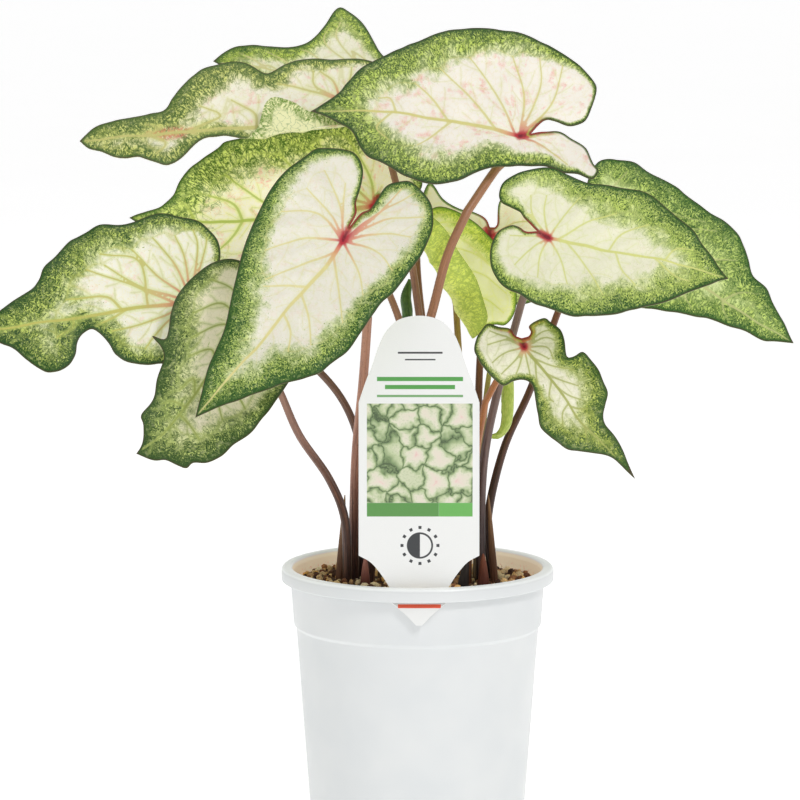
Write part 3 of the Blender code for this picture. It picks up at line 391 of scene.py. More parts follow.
# Papery sheaths and buds at the foot of the stalks: foot, top on the front sheet, radius at the foot. Their
# taper is the share of the way from the soil to the top and the share of the radius there.
SHEATH_TAPER = [(0.0, 1.0), (0.5, 0.8), (0.85, 0.45), (1.0, 0.15)]
SHEATHS = {
    "sheath_left": {"foot": (-34.5, 8), "top": (-32, 31, 6), "radius": 1.7},
    "sheath_right": {"foot": (34, 3), "top": (31.3, 31, 0), "radius": 1.6},
    "bud_left": {"foot": (-23, -4), "top": (-23, 4, -6), "radius": 2.0},
    "sheath_dark": {"foot": (20, -8), "top": (22, 4, -8), "radius": 2.2},
    "crown_right": {"foot": (29, -5), "top": (29, 5, -5), "radius": 2.4},
}

# Tag: where its middle is, the middle of its top and the curves of its right edge from the crown down, as
# (across, height above the base), and the line that it follows from top to bottom, as (y, height).
TAG_ACROSS = 0.4
TAG_TOP = (0.0, 244.7)
TAG_CURVES = [
    [(-8.6, 243), TAG_TOP, (8.6, 243), (13.9, 238.3), (16.9, 232.8), (20.1, 223.6), (23, 216),
     (25.7, 208)],
    [(25.7, 143), (20.5, 140), (15.9, 134.6), (12.6, 129.5)],
    [(12.8, 124.5), (6.1, 119), (1.2, 114.2)],
]
TAG_LINE = [(-41.0, 245), (-46.3, 190), (-50.0, 150), (-51.0, 138), (-51.6, 131), (-52.5, 128),
            (-56.6, 122.9), (-58.0, 118), (-58.6, 113)]

# Main side veins: the share of the midrib where each starts, a point half way and its end.
VEINS = {
    "front": [(0, (-33, 154), (-32, 168)), (0, (-34, 158), (-41, 174)), (0, (-38, 154), (-49, 166)),
        (0, (-44, 155), (-60, 156)), (0, (-49, 144), (-67, 139)), (0.06, (-49, 133), (-67, 126)),
        (0.26, (-57, 123), (-68, 123)), (0.3, (-48, 109), (-47, 97)), (0.42, (-56, 103), (-57, 94)),
        (0.08, (-35, 123), (-33, 107)), (0, (-26, 129), (-24, 119)), (0, (-18, 138), (-11, 130)),
        (0, (-16, 146), (-3, 145)), (0, (-17, 155), (-1, 164)), (0, (-14, 152), (3, 153)),
        (0, (-19, 153), (-7, 166))],
    "top": [(0.36, (7, 205), (-1, 212)), (0.12, (25, 204), (10, 219)), (0.02, (35, 207), (23, 224)),
        (0, (47, 207), (42, 224)), (0, (54, 210), (54, 223)), (0, (59, 203), (64, 220)),
        (0, (59, 199), (74, 204)), (0.34, (5, 188), (0, 185)), (0, (62, 188), (76, 175)),
        (0, (56, 184), (66, 176)), (0.64, (-18, 193), (-13, 187)), (0.62, (-12, 206), (-17, 206)),
        (0, (65, 199), (74, 197))],
    "right": [(0, (65, 154), (72, 162)), (0.05, (75, 151), (88, 155)), (0.34, (90, 146), (102, 150)),
        (0, (56, 155), (57, 163)), (0, (51, 154), (50, 163)), (0, (51, 152), (44, 158)),
        (0, (50, 145), (41, 145)), (0, (50, 139), (43, 132)), (0, (54, 136), (53, 127)),
        (0, (63, 135), (66, 124)), (0.1, (74, 132), (82, 119)), (0.38, (90, 130), (96, 123)),
        (0.66, (114, 139), (122, 139)), (0.6, (114, 127), (120, 125))],
    "left": [(0, (-114, 127), (-126, 139)), (0, (-107, 132), (-117, 144)), (0, (-103, 136), (-107, 145)),
        (0, (-97, 139), (-99, 148)), (0, (-94, 138), (-93, 144)), (0.07, (-125, 123), (-146, 130)),
        (0.32, (-138, 118), (-155, 117)), (0.02, (-123, 123), (-138, 132)), (0, (-115, 108), (-135, 103)),
        (0.3, (-134, 109), (-144, 104)), (0, (-114, 103), (-120, 95)), (0.55, (-152, 105), (-159, 100)),
        (0.2, (-123, 134), (-140, 137))],
    "low_left": [(0, (-86, 115), (-99, 111)), (0, (-87, 106), (-100, 100)), (0, (-81, 120), (-91, 126)),
        (0.3, (-91, 95), (-101, 92)), (0.52, (-99, 82), (-105, 77)), (0.62, (-108, 72), (-113, 71)),
        (0.1, (-79, 88), (-73, 83)), (0.25, (-83, 82), (-76, 69)), (0.45, (-89, 73), (-86, 64)),
        (0.68, (-100, 61), (-96, 55)), (0, (-70, 100), (-67, 91))],
    "mid_left": [(0, (-21, 171), (-31, 189)), (0, (-16, 168), (-17, 181)), (0, (-33, 172), (-48, 185)),
        (0.3, (-68, 160), (-85, 172)), (0, (-46, 168), (-61, 181)), (0.55, (-81, 159), (-92, 163)),
        (0.75, (-101, 157), (-105, 161)), (0.3, (-61, 145), (-73, 140)), (0.55, (-81, 145), (-88, 138)),
        (0.1, (-40, 145), (-48, 131)), (0, (-13, 152), (-10, 145)), (0, (-12, 161), (-8, 168))],
    "upper_left": [(0, (-51, 210), (-62, 212)), (0, (-45, 211), (-46, 218)),
        (0, (-37, 213), (-43, 218)), (0, (-30, 213), (-29, 219)), (0.34, (-72, 199), (-82, 205)),
        (0.6, (-87, 198), (-96, 202)), (0.78, (-113, 193), (-120, 194)), (0.6, (-93, 188), (-100, 183)),
        (0.75, (-111, 186), (-115, 181)), (0.3, (-63, 191), (-72, 185)), (0.1, (-49, 194), (-52, 187))],
    "topmost": [(0, (-29, 226), (-23, 223)), (0, (-35, 231), (-34, 239)), (0, (-40, 229), (-39, 237)),
        (0.2, (-46, 225), (-52, 227)), (0.45, (-60, 223), (-66, 226)), (0.7, (-73, 223), (-79, 226)),
        (0.3, (-51, 217), (-60, 215)), (0.6, (-66, 220), (-72, 218))],
    "small_right": [(0, (40, 100), (32, 103)), (0, (39, 99), (31, 97)), (0, (38, 93), (33, 89)),
        (0, (43, 90), (37, 84)), (0, (45, 88), (43, 83)), (0, (49, 87), (50, 82)),
        (0, (54, 102), (60, 104)), (0, (56, 100), (61, 99)), (0, (57, 96), (60, 91)),
        (0, (54, 93), (58, 91)), (0.1, (59, 88), (69, 86)), (0.24, (64, 81), (71, 79)),
        (0.36, (66, 75), (72, 73)), (0.12, (53, 79), (57, 71)), (0.3, (58, 74), (60, 72)),
        (0.5, (64, 67), (64, 61)), (0.52, (71, 69), (76, 69)), (0.7, (74, 59), (75, 54))],
}
# How each leaf is coloured. Bands: the width of the green band in mm, from the notch to the tip, on the
# left and on the right. Body, light, dark, vein: the colours of the blade, of the light and the dark
# flecks in the band, and of the veins. Halo: how far green spreads from the veins. Pink: the strength of
# pink blotches. Heart, red: the radius of the red heart and how far red runs out along the veins, in mm.
# Streaks, line: the strength of the dark streaks across the band and of the line inside the margin. Back:
# how far the red runs back into the lobes. Lip, rim: how strongly the lip of the sinus is coloured and
# how far its rim is red. Dense: how dense the flecks are. Glow: the light that comes through the blade.
# Under, backed: the colour of the underside and how much of the blade it hides. Net: how strongly a dark
# net shows in the band.
LOOK_COLUMNS = ("bands", "body", "light", "dark", "vein",
                "halo", "pink", "heart", "red", "streaks", "line", "back", "lip", "dense", "rim", "glow")
LOOK_ROWS = {
    "front": ([(1.2, 4, 9, 15, 12), (3, 5, 9, 14, 12)],
        (234, 230, 216), (196, 214, 112), (40, 80, 26), (222, 212, 146),
        0.12, 0.12, 1.5, 5.5, 0.55, 0.0, 0.72, 0.2, 0.9, 16, 0.05),
    "top": ([(0.5, 1.0, 9, 14, 14), (0.6, 2, 11, 17, 14)],
        (250, 243, 232), (206, 224, 110), (38, 76, 24), (216, 208, 132),
        0.15, 0.6, 1.3, 5.0, 0.8, 0.0, 0.3, 0.75, 0.64, 11, 0.06),
    "right": ([(1.2, 4, 12, 13, 10), (1.2, 7, 14, 20, 10)],
        (240, 238, 212), (204, 222, 114), (40, 80, 26), (216, 218, 134),
        0.12, 0.05, 1.3, 2.2, 0.5, 0.0, 0.2, 0.0, 0.69, 10, 0.07),
    "far_right": ([(2, 5, 9, 12, 10), (3, 15, 21, 22, 12)],
        (226, 236, 180), (200, 220, 116), (46, 88, 32), (196, 200, 136),
        0.05, 0.1, 1.0, 3.0, 0.8, 0.0, 0.3, 0.0, 0.65, 6, 0.08),
    "left": ([(2, 5, 11, 20, 16), (2, 5, 8, 16, 14)],
        (254, 250, 234), (204, 218, 112), (38, 76, 26), (202, 196, 104),
        0.5, 0.25, 1.5, 9.0, 0.8, 0.2, 0.3, 0.0, 0.78, 6, 0.07),
    "low_left": ([(2, 5, 11, 20, 20), (2, 4, 9, 17, 20)],
        (246, 238, 212), (190, 204, 116), (52, 80, 32), (156, 166, 88),
        0.6, 0.05, 1.0, 3.0, 0.8, 0.2, 0.3, 0.0, 0.85, 6, 0.07),
    "mid_left": ([(2, 9, 16, 18, 19), (2, 7, 10, 12, 14)],
        (255, 246, 226), (218, 228, 132), (60, 98, 30), (180, 194, 92),
        0.6, 0.6, 1.8, 4.0, 1.0, 0.3, 0.4, 0.0, 0.36, 10, 0.17),
    "upper_left": ([(2, 4, 9, 20, 16), (1.5, 4, 5, 6, 6)],
        (248, 243, 224), (218, 222, 126), (70, 100, 36), (206, 200, 124),
        0.45, 0.5, 1.3, 4.0, 1.0, 0.2, 0.3, 0.0, 0.6, 6, 0.08),
    "topmost": ([(1.5, 3, 4, 6, 6), (2, 9, 5, 7, 7)],
        (244, 240, 220), (196, 214, 96), (60, 96, 34), (212, 206, 146),
        0.25, 0.2, 1.0, 4.0, 0.7, 0.1, 0.3, 0.0, 0.6, 6, 0.08),
    "small_right": ([(1.0, 2.4, 3, 14, 10), (1.5, 5, 9, 13, 9)],
        (242, 238, 218), (196, 208, 100), (52, 84, 30), (172, 176, 100),
        0.2, 0.05, 1.3, 2.0, 0.6, 0.1, 0.1, 0.9, 0.85, 8, 0.05),
    "young": ([(4, 14, 16, 12, 10), (2, 10, 7, 1.5, 1.5)],
        (255, 252, 206), (222, 232, 100), (110, 150, 44), (226, 228, 140),
        0.15, 0.0, 0.6, 2.0, 0.5, 0.0, 0.0, 0.0, 0.5, 0.5, 0.2),
    "back_centre": ([(0.5, 1.0, 3, 6, 6), (0.5, 0.8, 3, 6, 6)],
        (252, 244, 222), (204, 218, 128), (84, 124, 52), (210, 208, 130),
        0.2, 0.3, 2.0, 5.0, 0.4, 0.0, 0.4, 0.0, 0.8, 10, 0.14),
}

# What most leaves share, and what a few have of their own.
USUAL_LOOK = {"under": (186, 202, 150), "backed": 0.6, "net": 0.0}
SPECIAL_LOOKS = {
    "mid_left": {"net": 0.6},
    "upper_left": {"under": (238, 238, 184), "backed": 0.9, "net": 0.55},
    "topmost": {"net": 0.45},
    "young": {"under": (216, 226, 112), "backed": 0.75},
}
LOOKS = {name: {**USUAL_LOOK, **dict(zip(LOOK_COLUMNS, row)), **SPECIAL_LOOKS.get(name, {})}
         for name, row in LOOK_ROWS.items()}

# Red strokes on a blade: both ends and the half width.
BLUSHES = {
    "upper_left": [((-119, 190), (-99, 191.5), 1.5), ((-112, 189.5), (-104, 190.5), 3.0)],
}

# The midrib as it is seen on the blade that rolls over its own lower edge.
DRAWN_MIDRIBS = {"upper_left": [(-50, 197), (-70, 193), (-87, 192), (-112, 190), (-135, 188)]}

# Colour of each stalk at its foot, half way and at the blade.
STALK_COLOURS = {
    "front": [(78, 48, 42), (176, 122, 100), (192, 140, 114)],
    "top": [(72, 44, 38), (158, 108, 78), (174, 122, 92)],
    "right": [(66, 46, 44), (112, 86, 80), (130, 104, 92)],
    "far_right": [(60, 36, 28), (92, 58, 44), (140, 86, 66)],
    "left": [(60, 36, 30), (98, 66, 50), (140, 104, 80)],
    "low_left": [(66, 40, 34), (120, 86, 72), (156, 114, 96)],
    "mid_left": [(72, 44, 38), (146, 100, 78), (160, 116, 92)],
    "upper_left": [(72, 44, 38), (140, 98, 76), (160, 116, 92)],
    "topmost": [(72, 44, 38), (140, 96, 74), (150, 108, 84)],
    "small_right": [(92, 54, 34), (164, 100, 56), (184, 118, 66)],
    "young": [(84, 60, 34), (152, 118, 58), (172, 146, 72)],
    "back_centre": [(62, 38, 30), (100, 62, 46), (150, 96, 70)],
}


def rgb(red, green, blue):
    """A colour from its 0 to 255 values on a screen, in the linear values that materials use."""
    return tuple((value / 255 / 12.92) if value <= 10 else ((value / 255 + 0.055) / 1.055) ** 2.4
                 for value in (red, green, blue)) + (1.0,)


def fade(values, low, high):
    """Smooth rise from 0 at low to 1 at high; low may be the greater."""
    share = np.clip((values - low) / (high - low), 0.0, 1.0)
    return share * share * (3 - 2 * share)


def unit(vectors):
    return vectors / np.linalg.norm(vectors, axis=-1, keepdims=True)


def in_front_view(points, behind):
    """Points in space, in mm, from their places on the front sheet and their distances behind it."""
    points = np.atleast_2d(np.array(points, float))
    on_sheet = RIM_CENTRE + points[:, :1] * SHEET_ACROSS + points[:, 1:] * SHEET_UP
    return EYE + (on_sheet - EYE) * (1.0 + np.reshape(behind, (-1, 1)) / EYE_DISTANCE)


def smooth_line(points, step):
    """Points about step apart on a smooth curve through the given ones."""
    points = np.array(points, float)
    ends = np.vstack([2 * points[:1] - points[1:2], points, 2 * points[-1:] - points[-2:-1]])
    line = []
    for before, start, end, after in zip(ends, ends[1:], ends[2:], ends[3:]):
        count = max(1, round(float(np.linalg.norm(end - start)) / step))
        t = np.arange(count)[:, None] / count
        line.append(0.5 * (2 * start + (end - before) * t
                           + (2 * before - 5 * start + 4 * end - after) * t ** 2
                           + (3 * start - before - 3 * end + after) * t ** 3))
    return np.vstack(line + [points[-1:]])


def inside(points, outline):
    """Whether each flat point lies within an outline."""
    x, y = points[:, :1], points[:, 1:]
    start, end = outline, np.roll(outline, -1, axis=0)
    rise = end[:, 1] - start[:, 1]
    crosses = (start[:, 1] > y) != (end[:, 1] > y)
    at = start[:, 0] + (y - start[:, 1]) * (end[:, 0] - start[:, 0]) / np.where(rise == 0, 1, rise)
    return (crosses & (x < at)).sum(1) % 2 == 1


def nearest(points, line):
    """Distance from each flat point to a chain of points, and how far along it the closest place is."""
    starts, steps = line[:-1], np.diff(line, axis=0)
    lengths = np.linalg.norm(steps, axis=1)
    run = np.concatenate([[0.0], np.cumsum(lengths)])
    squares = np.maximum(lengths ** 2, 1e-12)
    away, along = [], []
    for some in np.array_split(points, max(1, len(points) // 2000)):
        offset = some[:, None] - starts[None]
        share = np.clip((offset * steps).sum(2) / squares, 0, 1)
        apart = np.linalg.norm(offset - share[..., None] * steps, axis=2)
        best = apart.argmin(1)
        rows = np.arange(len(some))
        away.append(apart[rows, best])
        along.append(run[best] + share[rows, best] * lengths[best])
    return np.concatenate(away), np.concatenate(along)


def close(outline):
    return np.vstack([outline, outline[:1]])


def flat_net(outline, creases, grid):
    """Triangles that fill an outline, with points on a staggered grid and edges along the creases."""
    low, high = outline.min(0), outline.max(0)
    height = grid * math.sqrt(3) / 2
    rows = np.arange(int((high[1] - low[1]) / height) + 2)
    columns = np.arange(int((high[0] - low[0]) / grid) + 2)
    column, row = np.meshgrid(columns, rows)
    across, up = low[0] + (column + 0.5 * (row % 2)) * grid, low[1] + row * height
    filling = np.stack([across, up], -1).reshape(-1, 2)
    filling = filling[inside(filling, outline)]
    for line in [close(outline)] + list(creases):
        filling = filling[nearest(filling, line)[0] > FILL_CLEAR * grid]
    points = [outline] + list(creases) + [filling]
    edges = [(i, (i + 1) % len(outline)) for i in range(len(outline))]
    first = len(outline)
    for crease in creases:
        edges += [(first + i, first + i + 1) for i in range(len(crease) - 1)]
        first += len(crease)
    result = delaunay_2d_cdt([Vector(p) for p in np.vstack(points)], edges, [], 1, JOIN)
    return np.array([tuple(p) for p in result[0]]), [tuple(face) for face in result[2]]


def normals_of(place, flat):
    """Directions square to the surface that place(flat points) gives."""
    across, up = np.array([PROBE, 0.0]), np.array([0.0, PROBE])
    return unit(np.cross(place(flat + across) - place(flat - across), place(flat + up) - place(flat - up)))


def closed_sheet(flat, faces, place, above, below):
    """Closed sheet from a net: both sides, with the same triangles, lie above and below place(flat)."""
    middle, normals = place(flat), normals_of(place, flat)
    count = len(flat)
    seen = {(a, b) for face in faces for a, b in zip(face, face[1:] + face[:1])}
    shell = list(faces) + [tuple(count + i for i in reversed(face)) for face in faces]
    for a, b in sorted(seen):
        if (b, a) not in seen:
            shell.append((b, a, count + a))
            shell.append((b, count + a, count + b))
    sides = [middle + normals * np.reshape(above, (-1, 1)), middle - normals * np.reshape(below, (-1, 1))]
    return np.vstack(sides), shell


def piece(name, verts, faces, finish, node, facts=None):
    """Piece of the plant from points in mm, that stands for a node and carries facts for its finish."""
    mesh = bpy.data.meshes.new(name)
    mesh.from_pydata(np.asarray(verts) * MM, [], faces)
    mesh.validate()
    mesh.shade_smooth()
    mesh.set_sharp_from_angle(angle=SHARP_ANGLE)
    for fact, values in (facts or {}).items():
        values = np.asarray(values, np.float32)
        kind = "FLOAT_VECTOR" if values.ndim == 2 else "FLOAT"
        layer = mesh.attributes.new(fact, kind, "POINT")
        layer.data.foreach_set("vector" if values.ndim == 2 else "value", values.ravel())
    mesh.materials.append(finish)
    made = bpy.data.objects.new(name, mesh)
    bpy.context.collection.objects.link(made)
    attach(made, "root")
    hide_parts(node)
    return made


def folded(fold, points):
    """Where drawn points go when the blade beyond the fold's line is rolled forward, and their lift."""
    start = np.array(fold["from"], float)
    along = unit(np.array(fold["to"], float) - start)
    beyond = np.array([along[1], -along[0]])
    offset = points - start
    reach = np.maximum(offset @ beyond, 0.0)
    grown = fade(offset @ along, 0.0, fold["start"]) if fold["start"] else 1.0
    radius = fold["radius"]
    bent = np.minimum(reach / radius, math.radians(fold["turn"]) * grown)
    rest = reach - bent * radius
    shift = radius * np.sin(bent) + rest * np.cos(bent) - reach
    return points + beyond * shift[:, None], radius * (1 - np.cos(bent)) + rest * np.sin(bent)


def blade_surface(leaf):
    """The place function of a blade: from its drawing on the front sheet to its surface in space."""
    junction = np.array(leaf["junction"], float)
    forward = unit(np.array(leaf["tip"]) - junction)
    sideways = np.array([-forward[1], forward[0]])
    swell, length, phase = leaf["wave"]

    def place(points):
        lift = 0.0
        if "fold" in leaf:
            points, lift = folded(leaf["fold"], points)
        offset = points - junction
        ahead, aside = offset @ forward, offset @ sideways
        behind = leaf["behind"] + offset @ np.array(leaf["slope"]) + leaf["bow"] * ahead ** 2
        behind -= leaf["trough"] * np.abs(aside) ** TROUGH_POWER
        spread = np.minimum(1.0, np.abs(aside) / WAVE_REACH) ** WAVE_POWER
        turn = math.tau * ahead / length + phase + np.copysign(WAVE_SHIFT, aside)
        behind += swell * spread * np.sin(turn)
        return in_front_view(points, behind - lift)

    return place


def blade_outline(leaf, step):
    """The blade's margin once round, counter-clockwise, with the width of the green band at each point."""
    parts, widths = [], []
    for side in ("left", "right"):
        line = smooth_line([leaf["notch"]] + leaf[side] + [leaf["tip"]], step)
        share = np.linspace(0.0, 1.0, len(line))
        bands = leaf["bands"][0 if side == "left" else 1]
        parts.append(line)
        widths.append(np.interp(share, np.linspace(0.0, 1.0, len(bands)), bands))
    outline = np.vstack([parts[0], parts[1][-2:0:-1]])
    widths = np.concatenate([widths[0], widths[1][-2:0:-1]])
    x, y = outline.T
    if np.sum(x * np.roll(y, -1) - np.roll(x, -1) * y) < 0:
        outline, widths = outline[::-1], widths[::-1]
    return outline.copy(), widths.copy()


def trimmed(line, outline, margin):
    """The first unbroken run of a line that keeps clear of the outline."""
    good = inside(line, outline) & (nearest(line, close(outline))[0] > margin)
    stop = len(good) if good.all() else int(np.argmin(good))
    return line[:stop]


def ray_to_margin(start, direction, outline):
    """How far it is from a point to the margin in a direction, in mm."""
    steps = start + direction * np.arange(1.0, LONGEST_RAY)[:, None]
    return float(len(trimmed(steps, outline, 0.0)))


def turned_by(vector, angle):
    c, s = math.cos(angle), math.sin(angle)
    return np.array([vector[0] * c - vector[1] * s, vector[0] * s + vector[1] * c])


def usual_veins(midrib, outline):
    """Main side veins by rule: a fan round the junction, then pairs that leave the midrib."""
    run = np.concatenate([[0.0], np.cumsum(np.linalg.norm(np.diff(midrib, axis=0), axis=1))])
    forward = unit(midrib[-1] - midrib[0])
    lines = []
    places = [(0.0, angle) for angle in FAN_ANGLES] + [(share, RIB_ANGLE) for share in RIB_SHARES]
    for share, angle in places:
        start = np.array([np.interp(share * run[-1], run, midrib[:, i]) for i in range(2)])
        for side in (-1, 1):
            direction = turned_by(forward, side * math.radians(angle))
            length = VEIN_REACH * ray_to_margin(start, direction, outline)
            middle = start + turned_by(direction, side * VEIN_BEND) * 0.5 * length
            if length > SHORTEST_VEIN:
                lines.append([start, middle, start + direction * length])
    return lines


def main_veins(name, midrib, outline):
    """Lines of the main side veins of a blade."""
    run = np.concatenate([[0.0], np.cumsum(np.linalg.norm(np.diff(midrib, axis=0), axis=1))])
    drawn = []
    for share, middle, end in VEINS.get(name, []):
        start = [np.interp(share * run[-1], run, midrib[:, i]) for i in range(2)]
        drawn.append([start, middle, end])
    lines = [trimmed(smooth_line(line, VEIN_STEP), outline, VEIN_MARGIN)
             for line in drawn or usual_veins(midrib, outline)]
    return [line for line in lines if len(line) >= FEWEST_POINTS]


def grown_line(start, direction, length, bend, outline, others):
    """A side branch that grows until it nears the margin or a point of another vein."""
    line = [start]
    for _ in range(int(length / VEIN_STEP)):
        direction = turned_by(direction, bend)
        spot = line[-1] + direction * VEIN_STEP
        to_margin = np.linalg.norm(outline - spot, axis=1).min()
        if to_margin < VEIN_MARGIN or not inside(spot[None], outline)[0]:
            break
        if len(line) > 1 and np.linalg.norm(others - spot, axis=1).min() < BRANCH_CLEAR:
            break
        line.append(spot)
    return np.array(line)


def branch_veins(midrib, mains, outline, draw):
    """Small veins: branches of the main ones, and loops that join the ends of neighbours."""
    small = []
    for line in mains + [midrib]:
        length = VEIN_STEP * len(line)
        side = draw.choice((-1, 1))
        at = BRANCH_GAP
        while at < length - BRANCH_END:
            i = min(int(at / VEIN_STEP), len(line) - 2)
            tangent = unit(line[i + 1] - line[i])
            angle = side * math.radians(draw.uniform(*BRANCH_ANGLES))
            reach = draw.uniform(*BRANCH_LENGTHS)
            others = np.vstack([other for other in mains + small + [midrib] if other is not line])
            bend = -BRANCH_BEND * side
            branch = grown_line(line[i], turned_by(tangent, angle), reach, bend, outline, others)
            if len(branch) >= FEWEST_POINTS:
                small.append(branch)
            side = -side
            at += BRANCH_GAP * draw.uniform(*BRANCH_UNEVEN)
    ends = sorted((nearest(line[-1:], close(outline))[1][0], i) for i, line in enumerate(mains))
    order = [mains[i][-1] for _, i in ends]
    for start, end in zip(order, order[1:]):
        gap = float(np.linalg.norm(end - start))
        if LOOP_GAPS[0] < gap < LOOP_GAPS[1]:
            outward, middle = turned_by(unit(end - start), -math.pi / 2), (start + end) / 2
            if len(trimmed((middle + outward * LOOP_ROOM * gap)[None], outline, VEIN_MARGIN)):
                line = smooth_line([start, middle + outward * LOOP_BULGE * gap, end], VEIN_STEP)
                small.append(trimmed(line, outline, VEIN_MARGIN))
    return [line for line in small if len(line) >= FEWEST_POINTS]


def swell(flat, seed):
    """Gentle unevenness of a blade between about -1 and 1."""
    total = np.zeros(len(flat))
    for i, size in enumerate(SWELL_SIZES):
        turn = SWELL_TURN * i + seed
        along = flat @ np.array([math.cos(turn), math.sin(turn)])
        total += np.sin(along * math.tau / size + SWELL_SHIFT * seed + i)
    return total / len(SWELL_SIZES)


def vein_facts(flat, lines, wide, narrow):
    """Distance to the nearest vein, in mm and as a share of that vein's half width."""
    apart, share = np.full(len(flat), FAR), np.full(len(flat), FAR)
    for line in lines:
        distance, along = nearest(flat, line)
        half = wide + (narrow - wide) * along / (VEIN_STEP * len(line))
        apart = np.minimum(apart, distance)
        share = np.minimum(share, distance / half)
    return apart, share


def blush_of(name, flat):
    """Distance to the red strokes of a blade, as a share of their half width."""
    share = np.full(len(flat), FAR_BLUSH)
    for start, end, half in BLUSHES.get(name, []):
        share = np.minimum(share, nearest(flat, np.array([start, end], float))[0] / half)
    return share


def green_band(flat, outline, widths):
    """Width of the green band at each point, from the widths along the margin near it."""
    some, near = outline[::3], widths[::3]
    weights = 1.0 / (((flat[:, None] - some) ** 2).sum(2) + 1.0) ** 2
    return (weights * near).sum(1) / weights.sum(1)


def make_blade(number, name):
    """Blade of a leaf: a closed sheet with its veins in the mesh, and the facts that its finish needs."""
    leaf = {**LEAVES[name], **LOOKS[name]}
    outline, widths = blade_outline(leaf, MARGIN_STEP)
    junction, tip, notch = (np.array(leaf[key], float) for key in ("junction", "tip", "notch"))
    forward = unit(tip - junction)
    inner = DRAWN_MIDRIBS.get(name, leaf["midrib"])
    midrib = trimmed(smooth_line([junction] + inner + [tip], VEIN_STEP), outline, 0.7 * VEIN_STEP)
    mains = main_veins(name, midrib, outline)
    draw = random.Random(number)
    small = branch_veins(midrib, mains, outline, draw)
    flat, faces = flat_net(outline, [midrib] + mains + small, BLADE_GRID)

    size = float(np.clip(np.linalg.norm(tip - junction) / FULL_SIZE, SMALLEST_SHARE, 1.0))
    margin, around = nearest(flat, close(outline))
    rib_apart, rib = vein_facts(flat, [midrib], *(size * width for width in RIB_WIDTHS))
    main_apart, vein = vein_facts(flat, mains, VEIN_WIDTHS[0] * size, VEIN_WIDTHS[1])
    small_apart, minor = vein_facts(flat, small, *SMALL_WIDTHS)
    offset = flat - junction
    away = np.linalg.norm(offset, axis=1)
    backward = np.clip(-(offset @ forward) / np.maximum(away, 0.5), 0.0, 1.0)

    to_vein = np.minimum(rib_apart, main_apart) / (PUFF_REACH * size)
    puff = PUFF * size * (1 - np.exp(-to_vein ** 2))
    puff += SMALL_PUFF * (1 - np.exp(-(small_apart / SMALL_PUFF_REACH) ** 2))
    puff *= fade(margin, 0.0, PUFF_FADE)
    uneven = swell(flat, number)
    ripple = RIPPLE * np.sin(math.tau * around / RIPPLE_LENGTH + 2 * uneven)
    lift = fade(away, *STILL) * (puff + ripple * np.exp(-margin / RIPPLE_REACH) + UNEVEN * uneven)
    half = 0.5 * (EDGE_THICKNESS + (MIDDLE_THICKNESS - EDGE_THICKNESS) * fade(margin, 0.0, EDGE_TAPER))
    ribs = RIB_RAISE * size * np.exp(-(rib_apart / RIB_SPREAD) ** 2)
    ribs += VEIN_RAISE * np.exp(-(main_apart / VEIN_SPREAD) ** 2)
    under = half - lift + ribs * fade(margin, 0.0, RAISE_FADE)
    verts, shell = closed_sheet(flat, faces, blade_surface(leaf), half + lift, under)

    middle = np.array([junction, junction + HEART_REACH * (notch - junction)])
    sideways = np.array([-forward[1], forward[0]])
    facts = {"margin": margin, "around": around, "green": margin / green_band(flat, outline, widths),
             "rib": rib, "vein": vein, "minor": minor, "blush": blush_of(name, flat),
             "reach": away * (1 - leaf["back"] * backward ** 4),
             "ray": np.arctan2(offset @ sideways, offset @ forward),
             "heart": nearest(flat, middle)[0], "sinus": np.linalg.norm(flat - notch, axis=1),
             "flat": np.column_stack([flat, np.full(len(flat), LEAF_SHIFT * number)])}
    facts = {key: np.concatenate([value, value]) for key, value in facts.items()}
    facts["side"] = np.repeat([0.0, 1.0], len(flat))
    finish = leaf_finish(name, leaf)
    return piece("leaf_" + name, verts, shell, finish, "blade_" + name, facts)


def tube(centres, radii, sides, end_plane=None, shape=None):
    """Closed tube along the centres, with places on its skin; shape gives the radius by place and angle."""
    verts, faces, skin = [], [], []
    across = np.array([1.0, 0.0, 0.0])
    count = len(centres)
    run = 0.0
    for i, (centre, radius) in enumerate(zip(centres, radii)):
        along = unit(centres[min(i + 1, count - 1)] - centres[max(i - 1, 0)])
        across = unit(across - along * (across @ along))
        other = np.cross(along, across)
        run += float(np.linalg.norm(centre - centres[i - 1])) if i else 0.0
        for k in range(sides):
            angle = math.tau * k / sides
            reach = radius * (shape(i / (count - 1), angle) if shape else 1.0)
            point = centre + (across * math.cos(angle) + other * math.sin(angle)) * reach
            if end_plane and i == count - 1:
                origin, normal = end_plane
                point = point + along * (((origin - point) @ normal) / (along @ normal))
            verts.append(point)
            skin.append((math.cos(angle) * radius, math.sin(angle) * radius, run))
    for i in range(count - 1):
        for k in range(sides):
            a, b = i * sides + k, i * sides + (k + 1) % sides
            faces.append((a, b, b + sides, a + sides))
    faces.append(tuple(range(sides - 1, -1, -1)))
    last = (count - 1) * sides
    faces.append(tuple(last + k for k in range(sides)))
    skin = np.array(skin)
    return np.array(verts), faces, {"skin": skin, "rise": skin[:, 2] / run}


def rooted(foot, way):
    """A stalk's line: straight up out of the soil at its foot, then through the given points."""
    top = POT_HEIGHT - SOIL_BELOW_RIM
    feet = [(*foot, height) for height in (top - STALK_DEPTH, top, top + STRAIGHT_FOOT)]
    return np.vstack([feet, way])


def view_points(points):
    points = np.array(points, float)
    return in_front_view(points[:, :2], points[:, 2])


